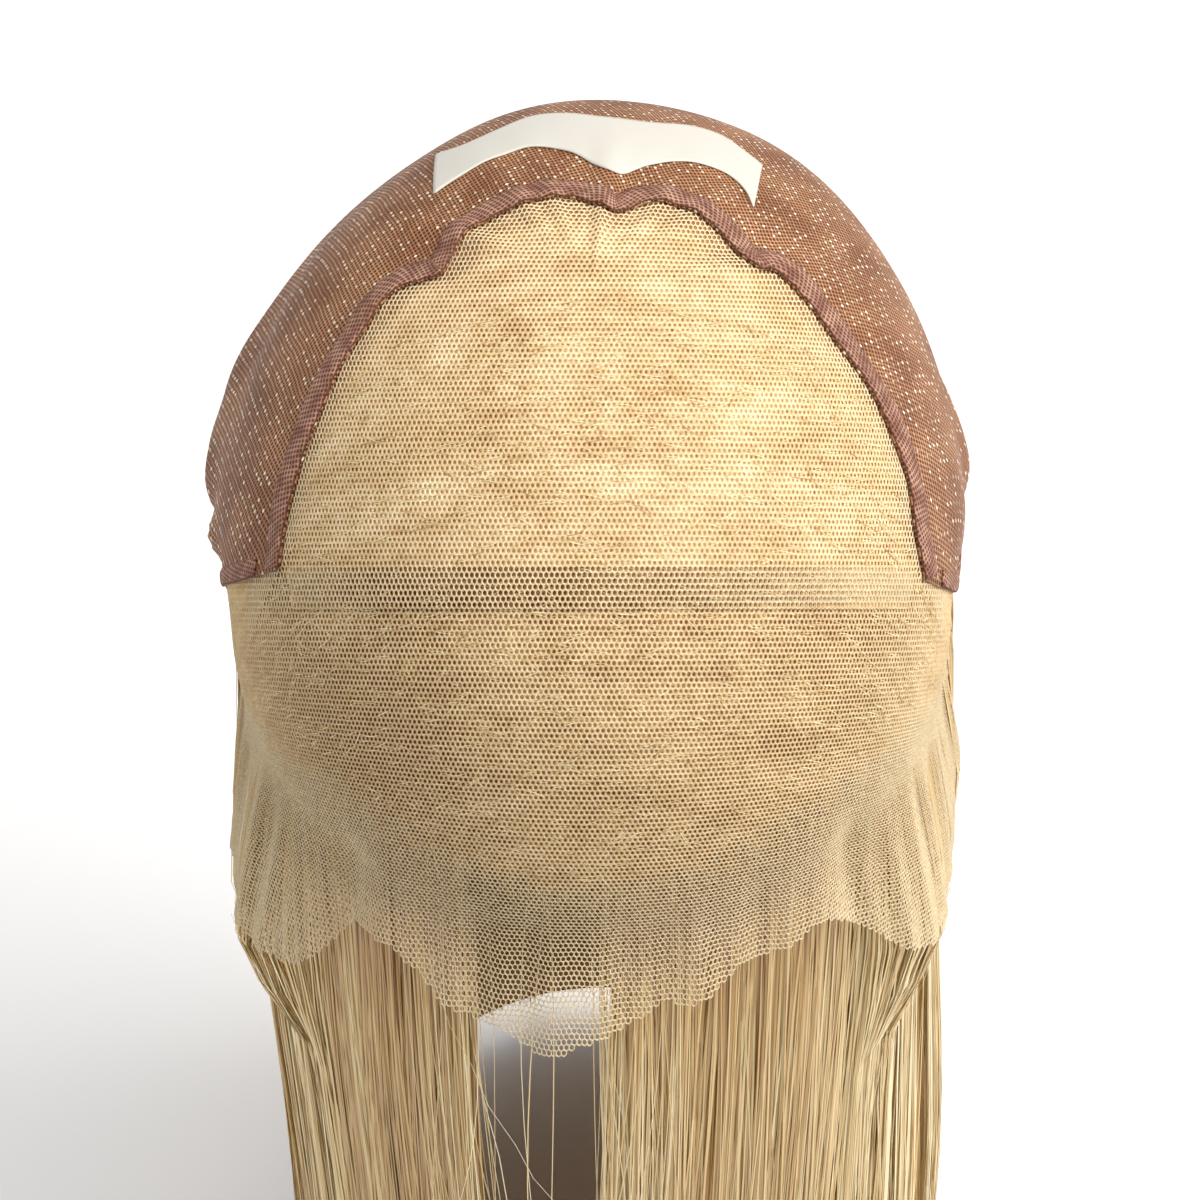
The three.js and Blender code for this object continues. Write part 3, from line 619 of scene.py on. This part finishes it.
def strandMaterial():
    shader = Shader("strands of hair", 0.4, Specular_IOR_Level=0.45)
    shade, down = shader.attribute("shade"), shader.attribute("down")
    streaks = shader.noise(shader.uv(1.0, 1.0), 1.0, 2.0)
    # painted shade: strands are darker near the hairline, where the lace margin shades them, and lighter further
    # down
    level = (shade * 0.9 + (streaks - 0.5) * 0.25 + down.part(0.05, 0.4) * 0.5 - 0.4).held()
    colour = shader.ramp(level, [(0.0, tint(164, 118, 60)), (0.4, tint(202, 164, 98)), (0.75, tint(228, 202, 144)),
                                 (1.0, tint(246, 233, 192))])
    return shader.finish(Base_Color=colour)


knit = {"holeAcross": 0.95, "holeDown": 1.15, "rib": 1.9, "wobble": 1.1}


def weave(shader):
    # the net's knit in millimetres of cloth: its holes, its raised ribs and the light specks on them
    across, down = shader.parts(shader.uv(1000, 1000))
    wobble = shader.noise(shader.uv(90, 90), 1.0, 2.0) * knit["wobble"]
    across, down = across + wobble, down + wobble
    threads = (across * (math.pi / knit["holeAcross"])).sine().size()
    holes = (threads * (down * (math.pi / knit["holeDown"])).sine().size()).part(0.2, 0.6)
    ribs = (across * (math.pi / knit["rib"])).sine().size().part(0.35, 0.05)
    column = (across / knit["rib"] + 0.5).maths("FLOOR")
    row = down / knit["rib"] + column * 0.5
    spot = row.maths("FLOOR")
    aside = (across / knit["rib"] + 0.5 - column - 0.5) * knit["rib"]
    lengthwise = (row - spot - 0.5) * knit["rib"]
    near = (aside * aside + lengthwise * lengthwise).part(0.2, 0.07)
    place = shader.node("ShaderNodeCombineXYZ", {}, {0: column, 1: spot})
    chance = shader.node("ShaderNodeTexWhiteNoise", {}, {"Vector": place})
    return holes, ribs, near * chance.part(0.3, 1.1)


def netMaterial():
    shader = Shader("brown stretch net", 0.6, Specular_IOR_Level=0.3)
    holes, ribs, specks = weave(shader)
    patch = shader.noise(shader.uv(60, 60), 1.0, 3.0)
    ground = shader.blend(tint(144, 88, 50), tint(194, 140, 98), patch.part(0.25, 0.75))
    colour = shader.blend(ground, tint(200, 158, 122), ribs * 0.35)
    # the knit's holes are a real pattern; their dark colour is painted shade seen through the openings
    colour = shader.blend(colour, tint(66, 34, 18), holes * 0.92)
    colour = shader.blend(colour, tint(255, 244, 220), specks)
    return shader.finish(Base_Color=colour, Normal=shader.bump(1 - holes, 0.5, 0.0003))


def hemMaterial():
    shader = Shader("folded hem", 0.7, Specular_IOR_Level=0.25)
    across, down = shader.parts(shader.uv(1000, 1000))
    slant = ((across + down * 0.4) * (math.pi / 1.2)).sine().size()
    holes = (slant * ((down - across * 0.3) * (math.pi / 1.1)).sine().size()).part(0.2, 0.65)
    patch = shader.noise(shader.uv(250, 250), 1.0, 3.0)
    ground = shader.blend(tint(136, 92, 74), tint(192, 148, 124), patch.part(0.3, 0.7))
    # the hem's holes are a real pattern; their dark colour is painted shade seen through the openings
    colour = shader.blend(ground, tint(76, 40, 32), holes * 0.85)
    # painted shade: a dark line along the hem's edge, where it steps down onto the cloth beneath
    colour = shader.blend(colour, tint(84, 44, 22), down.part(0.6, 0.15) * 0.85)
    return shader.finish(Base_Color=colour, Normal=shader.bump(1 - holes, 0.5, 0.0003))


def tapeMaterial():
    shader = Shader("ivory tape", 0.42, Specular_IOR_Level=0.4, Coat_Weight=0.08)
    patch = shader.noise(shader.uv(40, 40), 1.0, 3.0)
    fine = shader.noise(shader.uv(900, 900), 1.0, 2.0)
    down = shader.parts(shader.uv(1000, 1000))[1]
    colour = shader.blend(tint(206, 201, 190), tint(216, 211, 200), patch)
    colour = shader.blend(colour, tint(222, 180, 134), down.part(0.55, 0.2) * 0.8)
    return shader.finish(Base_Color=colour, Normal=shader.bump(fine, 0.08, 0.0002))


laceLook, matLook, bodyLook, strandLook = laceMaterial(), matMaterial(), bodyMaterial(), strandMaterial()
netLook, hemLook, tapeLook = netMaterial(), hemMaterial(), tapeMaterial()


def settle(piece, look, nodes):
    piece.data.materials.append(look)
    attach(piece, "root")
    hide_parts(*nodes)
    return piece


# The laces' heights over the form, and where they end.
laces = {"low": -0.42, "high": -0.16, "sideAzimuth": 91.0, "lobeAzimuth": 77.0, "underHem": 5.0, "scallop": 2.2,
         "knottedHole": 0.54, "bareHole": 0.75, "seamHole": 0.74, "marginFrom": 4.0}


def scalloped(place):
    # how far a place is above the pinked lower edge, in millimetres
    azimuth = azimuthOf(place)
    scallops = np.abs(np.sin(np.radians(azimuth * 15.5 + 20))) * laces["scallop"]
    return (along(edgeRows, azimuth) - reachOf(place)) * quarterArc + scallops - 1.2


def notCovered(place):
    # in front of the net, or a little way under its hems
    return (insideArch(place) > -laces["underHem"]) | (belowTab(place) > -laces["underHem"])


def onTopLace(place):
    return ~frontward(place) & notCovered(place)


def onFrontLace(place):
    end = mix(laces["sideAzimuth"], laces["lobeAzimuth"], smooth((reachOf(place) - 1.07) / 0.12))
    return frontward(place) & (np.abs(azimuthOf(place)) < end) & (scalloped(place) > 0) & notCovered(place)


def onKnotted(place):
    return onFrontLace(place) & (belowHairline(place) < laces["marginFrom"])


def onMargin(place):
    return onFrontLace(place) & (belowHairline(place) >= laces["marginFrom"])


def laceHoles(place):
    return mix(laces["knottedHole"], laces["bareHole"], opennessAt(place))


def seamHoles(place):
    return np.full(place.shape[:-1], laces["seamHole"])


topLace = settle(honeycomb("lace_crown", onTopLace, laces["low"], laces["high"], laceHoles, 11), laceLook,
                 ["top_lace"])
knotted = settle(honeycomb("lace_front_knotted", onKnotted, laces["low"], laces["high"], laceHoles, 12), laceLook,
                 ["front_lace"])
margin = settle(honeycomb("lace_front_margin", onMargin, laces["low"], laces["high"], laceHoles, 13), laceLook,
                ["front_lace"])


def inBand(place):
    across = place[..., 0]
    ends = (across > seam["endLeft"]) & (across < seam["endRight"])
    return ends & (np.abs(belowSeam(place)) < seam["width"] / 2)


band = settle(honeycomb("lace_seam_band", inBand, seam["low"], seam["high"], seamHoles, 14, (0.1, 0.12)), laceLook,
              ["lace_seam"])

# The net, its two hems and the tape lie over the laces' edges.
net = {"low": 0.1, "high": 0.55, "columns": 150, "rows": 40, "tabBow": 0.03}


def netPlace(s, w):
    arch, rim = archLine(s), rimLine(s)
    bow = net["tabBow"] * 4 * w * (1 - w) * (bell(s, 0.03) + bell(1 - s, 0.03))
    return mix(arch, rim, w[..., None]) + np.stack([0 * bow, bow], -1)


def netPoints(s, w):
    place = netPlace(s, w)
    return capPoints(place, net["high"] + 0 * s, rippled=True), capPoints(place, net["low"] + 0 * s, rippled=True)


def netUv(s, w):
    # along and across the cloth, whose ribs run a little aslant from back to front
    place = netPlace(s, w)
    wide = 0.35 * place[..., 0] * quarterArc + 0.65 * formPoints(place)[..., 0]
    long = 0.3 * place[..., 1] * quarterArc - 0.7 * formPoints(place)[..., 1]
    return np.stack([wide - 0.35 * long, long + 0.45 * wide], -1) * mm


crownNet = settle(shell("net_crown", net["columns"], net["rows"], netPoints, netUv), netLook, ["crown_net"])


hems = {"low": 0.62, "high": 1.15, "width": 7.0, "napeWidth": 4.6, "columns": 260, "rows": 6}


def hemRibbon(name, line, width, wobble, narrowed=0.0):
    # a crowned ribbon laid along a line of the map; a positive width leads to the right of its run
    def points(s, w):
        ahead, behind = line(np.clip(s + 0.003, 0, 1)), line(np.clip(s - 0.003, 0, 1))
        run = ahead - behind
        run /= np.linalg.norm(run, axis=-1, keepdims=True)
        aside = np.stack([run[..., 1], -run[..., 0]], -1)
        ruffle = wobble * (np.sin(s * 260) + 0.6 * np.sin(s * 407 + 1)) * 0.5
        slim = 1 - narrowed * np.sin(np.pi * s) ** 2
        place = line(s) + aside * ((width * slim * w + np.sign(width) * ruffle * (1 - w)) / quarterArc)[..., None]
        edge = hems["low"] + 0.12
        crown = edge + (hems["high"] - edge) * (1 - (2 * w - 1) ** 4) * (1 + 0.1 * np.sin(s * 330))
        return capPoints(place, crown, rippled=True), capPoints(place, hems["low"] + 0 * s, rippled=True)

    def uv(s, w):
        outer = points(s, w)[0]
        steps = np.linalg.norm(np.diff(outer[:, 0], axis=0, prepend=outer[:1, 0]), axis=-1)
        return np.stack([np.broadcast_to(np.cumsum(steps)[:, None], s.shape), w * abs(width)], -1) * mm
    return shell(name, hems["columns"], hems["rows"], points, uv)


frontHem = settle(hemRibbon("hem_front", archLine, hems["width"], 0.35, 0.22), hemLook, ["net_hem"])


def tabLine():
    # down the left ear tab, round the nape and up the right ear tab
    rim = rimLine(np.linspace(0, 1, 15))
    tabs = [[mix(archLine(end), rim[side], t) + [0, net["tabBow"] * 4 * t * (1 - t)] for t in (0.2, 0.4, 0.7)]
            for end, side in ((0.0, 0), (1.0, -1))]
    return lineThrough(tabs[0] + list(rim) + tabs[1][::-1])


napeHem = settle(hemRibbon("hem_nape", tabLine(), -hems["napeWidth"], 0.2), hemLook, ["nape_hem"])
tape = {"low": 0.7, "high": 1.05}
tapeBack, tapeFront = lineThrough(tapeBackRows), lineThrough(tapeFrontRows)


def tapePoints(s, w):
    place = mix(tapeBack(s), tapeFront(s), w[..., None])
    return capPoints(place, tape["high"] + 0 * s, rippled=True), capPoints(place, tape["low"] + 0 * s, rippled=True)


def tapeUv(s, w):
    return np.stack([s * 82, w * 22], -1) * mm


tapeStrip = settle(shell("tape_ivory", 90, 18, tapePoints, tapeUv), tapeLook, ["tape_strip"])

# The hair: heights over the form, its layer, and how the locks hang.
hair = {"outer": -1.9, "fill": 0.9, "matLevel": -0.66, "layer": 4.0, "lockGap": 0.3, "topGap": 0.9, "recess": 1.2,
        "thick": 9.0, "tipThick": 4.0, "length": 355.0, "spreadStart": 70.0, "spreadRun": 200.0}
parting = {"left": -20, "right": 4}


def bowlPlaces(columns, rings, reachAt):
    azimuth = np.arange(columns) / columns * 360 - 180
    share = np.linspace(0, 1, rings + 1)
    return polar(azimuth[:, None], reachAt(azimuth)[:, None] * np.maximum(share, 1e-4)[None, :])


def crownHair():
    columns, rings = 160, 60
    places = bowlPlaces(columns, rings, lambda a: along(hairlineRows, a) - hair["topGap"] / quarterArc)
    outer = capPoints(places, hair["matLevel"] + 0 * places[..., 0], False, True)
    inner = capPoints(places, hair["outer"] - hair["layer"] + 0 * places[..., 0], False, True)
    count = columns * (rings + 1)
    skin = gridFaces(columns, rings, closed=True)
    lip = np.arange(columns) * (rings + 1) + rings
    lipNext = np.roll(lip, -1)
    rim = np.stack([lip, lip + count, lipNext + count, lipNext], -1)
    faces = np.concatenate([skin, skin[:, ::-1] + count, rim])
    flat = places.reshape(-1, 2)
    attributes = {"tone": np.tile(toneAt(flat), 2), "open": np.tile(opennessAt(flat), 2)}
    return makeMesh("hair_cap", np.concatenate([outer.reshape(-1, 3), inner.reshape(-1, 3)]), faces,
                    np.tile(flat * quarterArc * mm, (2, 1)), attributes)


hairCap = settle(crownHair(), matLook, ["hair_crown"])
hairlineLevel = capPoints(polar(0.0, along(hairlineRows, 0.0)), hair["outer"], False)[2]


def hangingPoints(azimuth, reach, depth):
    # the hair fills the lace's side lobes from inside and falls back below them
    aside = np.abs(azimuth)
    fill = smooth((aside - 46) / 14) * smooth((106 - aside) / 12) * smooth((reach - 0.98) / 0.12)
    fill = fill * smooth((1.86 - reach) / 0.48)
    free = capPoints(polar(azimuth, reach), hair["outer"] - depth, False, True)
    under = capPoints(polar(azimuth, reach), laces["low"] + hair["fill"] - depth, True, True)
    points = mix(free, under, fill[..., None])
    hang = smooth((ringLevel - points[..., 2] - hair["spreadStart"]) / hair["spreadRun"])
    wide = mix(1, along(spreadRows, azimuth), hang)
    return points * np.stack([wide, wide, np.ones_like(wide)], -1)


def tipReach(short):
    return 1 + (ringLevel - hairlineLevel + hair["length"] * (1 - short)) / quarterArc


def lockThickness(w):
    body = mix(hair["layer"], hair["thick"], smooth(w / 0.25))
    return mix(body, hair["tipThick"], smooth((w - 0.6) / 0.4))


# hair tone by azimuth: partly the hair's own tone, partly painted light, with the front left darker and the far
# right lighter as the light falls from the right
shadeRows = [(-180, 0.5), (-70, 0.6), (-54, 0.72), (-42, 0.4), (-22, 0.34), (4, 0.42), (22, 0.44), (36, 0.48),
             (50, 0.78), (70, 0.8), (180, 0.5)]


def shadeAt(azimuth):
    return along(shadeRows, azimuth)


def lockBody(name, start, end, short):
    # the lock's own mass, a little inside its outer form, ridged into clumps
    half = math.degrees(hair["lockGap"] / 2 / cap["halfWidth"])
    clump = noiseField(5.5, 160, 71 + len(name), 2)

    def points(s, w):
        azimuth = mix(start + half, end - half, s)
        reach = mix(along(hairlineRows, azimuth), tipReach(short + 0.02), w ** 1.6)
        ridge = clump(np.stack([azimuth / 100, w], -1)) * 3.2 * smooth(w / 0.12)
        recess = hair["recess"] * smooth(w / 0.125) + ridge
        thick = lockThickness(w)
        # the edges beside the parting at the front thin out
        free = 1 - s if end == parting["left"] else s if start == parting["right"] else np.ones_like(s)
        thin = 1 - smooth(free / 0.2)
        outer = hangingPoints(azimuth, reach, recess + 0.45 * thick * thin)
        inner = hangingPoints(azimuth, reach, hair["recess"] * smooth(w / 0.125) + thick * (1 - 0.4 * thin))
        return outer, inner

    def attributes(s, w):
        azimuth = mix(start, end, s)
        return {"shade": shadeAt(azimuth) - 0.3 + 0.45 * clump(np.stack([azimuth / 100, w], -1)), "down": w}

    def uv(s, w):
        return np.stack([mix(start, end, s) * 1.5, w * 3.0], -1)
    return shell(name, 60, 38, points, uv, attributes)


def ribbons(name, paths, width, shades, outward=None, twist=0.7):
    # flat tapered strands along paths of points
    count, steps = paths.shape[:2]
    run = np.gradient(paths, axis=1)
    run /= np.linalg.norm(run, axis=-1, keepdims=True)
    if outward is None:
        outward = paths * [1, 1, 0]
    side = np.cross(run, outward)
    side /= np.maximum(np.linalg.norm(side, axis=-1, keepdims=True), 1e-6)
    turn = draws.uniform(-twist, twist, (count, 1, 1))
    side = side * np.cos(turn) + np.cross(side, run) * np.sin(turn)
    taper = np.interp(np.linspace(0, 1, steps), [0, 0.1, 0.7, 1], [0.8, 1, 0.8, 0.25])[None, :, None]
    offset = side * width[:, None, None] / 2 * taper
    points = np.stack([paths - offset, paths + offset], 2).reshape(-1, 3)
    base = (np.arange(count)[:, None] * steps + np.arange(steps - 1)[None, :]).ravel() * 2
    faces = np.stack([base, base + 1, base + 3, base + 2], -1)
    down = np.tile(np.repeat(np.linspace(0, 1, steps), 2), count)
    uv = np.stack([np.repeat(np.arange(count) * 0.37, steps * 2), down * 4], -1)
    return makeMesh(name, points, faces, uv, {"shade": np.repeat(shades, steps * 2), "down": down})


def strandPaths(azimuth, drift, depth, short, steps=13):
    # strands from the hairline to the tips; drift is how far round each has moved at each step
    w = np.linspace(0, 1, steps)[None, :]
    reach = mix(along(hairlineRows, azimuth)[:, None], tipReach(short)[:, None], w ** 1.3)
    deep = hair["recess"] * smooth(w / 0.125) + depth[:, None] * np.minimum(lockThickness(w) - 0.6, 7.5)
    return hangingPoints(azimuth[:, None] + drift, reach, deep)


def lockStrands(name, start, end, short, count, steps=13):
    azimuth = draws.uniform(start, end, count)
    depth = draws.uniform(-0.12, 1, count) * draws.uniform(0.2, 1, count)
    tufts = np.sort(draws.uniform(start, end, 22))
    nearest = np.argmin(np.abs(azimuth[:, None] - tufts[None, :]), axis=1)
    w = np.linspace(0, 1, steps)[None, :]
    pull = (tufts[nearest] - azimuth)[:, None] * 0.5 * smooth((w - 0.12) / 0.8)
    sway = draws.normal(0, 1.1, (22, 1))[nearest] * np.sin(w * 3.5 + draws.uniform(0, 6, (22, 1))[nearest])
    wander = draws.normal(0, 2.4, (count, 1)) * w ** 1.5 + draws.normal(0, 0.5, (count, 1)) * np.sin(
        w * draws.uniform(4, 11, (count, 1)) + draws.uniform(0, 6, (count, 1)))
    drift = pull + sway * w + wander
    low = start - (5 if start == parting["right"] else 0.2)
    high = end + (5 if end == parting["left"] else 0.2)
    drift = np.clip(azimuth[:, None] + drift, low, high) - azimuth[:, None]
    lengths = short + draws.uniform(0, 0.09, count) * draws.uniform(0, 1, count)
    # strands lying deeper inside the lock are darker: painted shade
    shades = shadeAt(azimuth) + draws.normal(0, 0.12, 22)[nearest] + draws.normal(0, 0.13, count) - depth * 0.2
    return ribbons(name, strandPaths(azimuth, drift, depth, lengths, steps), draws.uniform(0.25, 0.6, count),
                   np.clip(shades, 0, 1))


def strays():
    # loose hairs in front of the parting and the locks, and two long pale ones across the left of it
    count, steps = 150, 13
    azimuth = np.concatenate([draws.uniform(-30, -18, 60), draws.uniform(2, 14, 60), draws.uniform(-60, 58, 30)])
    w = np.linspace(0, 1, steps)[None, :]
    inward = np.where(azimuth < -10, draws.uniform(-3, 9, count), draws.uniform(-7, 4, count))[:, None]
    drift = inward * w ** 1.6 + draws.normal(0, 1.2, (count, 1)) * np.sin(w * draws.uniform(3, 8, (count, 1)))
    paths = strandPaths(azimuth, drift, draws.uniform(-0.4, 0.3, count), draws.uniform(0, 0.12, count), steps)
    t = np.linspace(0, 1, steps)
    long = [hangingPoints(mix(-25, 14, t ** 1.2), mix(1.12, 2.3, t), np.full(steps, -3.0) - 2 * np.sin(t * 3)),
            hangingPoints(mix(-17, -27, t) + 4 * np.sin(t * 3), mix(1.1, 2.2, t), np.full(steps, -3.0))]
    paths = np.concatenate([paths, np.stack(long)])
    return ribbons("strands_loose", paths, draws.uniform(0.16, 0.34, count + 2),
                   np.concatenate([draws.uniform(0.5, 1, count), [1.0, 1.0]]))


def laceHairs():
    # single hairs lying on the knotted lace, mostly along its rows, and short ones over the hairline
    count, steps = 3400, 6
    place = np.stack([draws.uniform(-0.95, 0.95, 12000), draws.uniform(-0.17, 0.95, 12000)], -1)
    good = (insideArch(place) > 5) & (belowHairline(place) < -3) & (np.abs(azimuthOf(place)) < 88)
    place = place[good][:count]
    count = len(place)
    lean = 0.35 * np.tanh(place[:, 0] * 2) * smooth((place[:, 1] - 0.45) / 0.2)
    angle = draws.normal(0, 0.35, count) - lean
    bend = draws.normal(0, 0.3, count)
    length = draws.uniform(2.5, 8, count) / quarterArc
    t = np.linspace(-0.5, 0.5, steps)[None, :]
    heading = angle[:, None] + bend[:, None] * t
    line = place[:, None, :] + np.stack([np.cos(heading), np.sin(heading)], -1) * (t * length[:, None])[..., None]
    rise = draws.uniform(-0.3, -0.06, (count, 1)) + 0 * t
    short = 500
    azimuth = draws.uniform(-80, 80, (short, 1))
    s = np.linspace(0, 1, steps)[None, :]
    reach = along(hairlineRows, azimuth) + (-4 + s * draws.uniform(6, 20, (short, 1))) / quarterArc
    fringe = polar(azimuth + draws.normal(0, 3, (short, 1)) * s, reach)
    places = np.concatenate([line, fringe])
    rises = np.concatenate([rise, mix(-0.55, draws.uniform(-1.6, -0.6, (short, 1)), s)])
    points = capPoints(places, rises, rippled=True)
    outward = capPoints(places, rises + 1, rippled=True) - points
    shades = np.clip(np.where(draws.random(count + short) < 0.16, draws.uniform(0, 0.3, count + short),
                              draws.uniform(0.55, 1.1, count + short)), 0, 1)
    return ribbons("hairs_on_lace", points, draws.uniform(0.1, 0.19, count + short), shades, outward, 0.3)


draws = np.random.default_rng(41)
# name, azimuth from and to, how much shorter than the longest as a share, and how many strands
locks = [("hair_front_left", -65, parting["left"], 0.03, 3300), ("hair_side_left", -114, -65, 0.0, 1700),
         ("hair_back_left", -180, -114, 0.02, 1500), ("hair_front_right", parting["right"], 60, 0.02, 3800),
         ("hair_side_right", 60, 114, 0.0, 1700), ("hair_back_right", 114, 180, 0.02, 1500)]
for name, start, end, short, count in locks:
    settle(lockBody(name.replace("hair", "lock"), start, end, short), bodyLook, [name])
    settle(lockStrands(name.replace("hair", "strands"), start, end, short, count), strandLook, [name])
settle(strays(), strandLook, ["hair_front_left", "hair_front_right"])
settle(laceHairs(), strandLook, ["hair_crown"])
print("hair laid")


def surfaceOf(placeAt, columns=120, rows=16):
    # square metres of cloth
    s, w = np.meshgrid(np.linspace(0, 1, columns + 1), np.linspace(0, 1, rows + 1), indexing="ij")
    points = formPoints(placeAt(s, w))
    wide, long = np.diff(points, axis=0)[:, :-1], np.diff(points, axis=1)[:-1]
    return np.linalg.norm(np.cross(wide, long), axis=-1).sum() * mm * mm


def lengthOf(line):
    return np.linalg.norm(np.diff(formPoints(line(np.linspace(0, 1, 400))), axis=0), axis=1).sum() * mm


netArea = surfaceOf(netPlace)
tapeArea = surfaceOf(lambda s, w: mix(tapeBack(s), tapeFront(s), w[..., None]))
hemLength, napeLength = lengthOf(archLine), lengthOf(tabLine())
seamLength = clothArea["lace_seam_band"] / (seam["width"] * mm)
cuts = {"lace_crown": (topLace, (0.155, 0.115), clothArea["lace_crown"], "stretched"),
        "lace_front_knotted": (knotted, (0.24, 0.085), clothArea["lace_front_knotted"], "stretched"),
        "lace_front_margin": (margin, (0.25, 0.11), clothArea["lace_front_margin"], "hung"),
        "lace_seam_band": (band, (seamLength, 0.0102), clothArea["lace_seam_band"], "stretched"),
        "net_crown": (crownNet, (0.34, 0.2), netArea, "stretched"),
        "hem_front": (frontHem, (hemLength, 0.0102), hemLength * hems["width"] * mm * 0.89, "stretched"),
        "hem_nape": (napeHem, (napeLength, 0.0102), napeLength * hems["napeWidth"] * mm, "stretched"),
        "tape_ivory": (tapeStrip, (0.082, 0.023), tapeArea, "laid")}
for name, (piece, (width, length), area, held) in cuts.items():
    print(name, "flat", round(width, 4), round(length, 4), "area", round(area, 5))

def floorMaterial():
    shader = Shader("pale floor", 0.9, Specular_IOR_Level=0.1)
    patch = shader.noise(shader.node("ShaderNodeTexCoord", {}, {}, "Object"), 2.0, 2.0)
    return shader.finish(Base_Color=shader.blend((0.93, 0.93, 0.94, 1), (0.96, 0.96, 0.965, 1), patch))


stage = {"floor": -0.4345, "half": 4.0, "cells": 8}
side = np.linspace(-1, 1, stage["cells"] + 1) * stage["half"]
floorPoints = np.stack(np.meshgrid(side, side, [stage["floor"]], indexing="ij"), -1).reshape(-1, 3) / mm
floor = makeMesh("floor", floorPoints, gridFaces(stage["cells"], stage["cells"])[:, ::-1])
floor.data.materials.append(floorMaterial())

lamps = {"key": {"at": (1.25, -0.25, 1.35), "size": 1.4, "watts": 40.0, "tint": (1.0, 0.985, 0.96)},
         "fill": {"at": (-1.3, -1.0, 0.8), "size": 1.6, "watts": 2.5, "tint": (0.95, 0.97, 1.0)},
         "top": {"at": (0.1, 0.5, 1.9), "size": 1.6, "watts": 18.0, "tint": (1.0, 1.0, 1.0)}}
for lampName, lamp in lamps.items():
    light = bpy.data.lights.new(lampName, "AREA")
    light.energy, light.size, light.color = lamp["watts"], lamp["size"], lamp["tint"]
    holder = bpy.data.objects.new(lampName, light)
    bpy.context.collection.objects.link(holder)
    holder.location = lamp["at"]
    holder.rotation_euler = (Vector((0, 0, -0.12)) - Vector(lamp["at"])).to_track_quat("-Z", "Y").to_euler()
world = bpy.data.worlds.new("studio")
bpy.context.scene.world = world
world.use_nodes = True
world.node_tree.nodes["Background"].inputs["Color"].default_value = (1.0, 1.0, 1.0, 1)
world.node_tree.nodes["Background"].inputs["Strength"].default_value = 0.5
bpy.context.scene.view_settings.view_transform = "Standard"
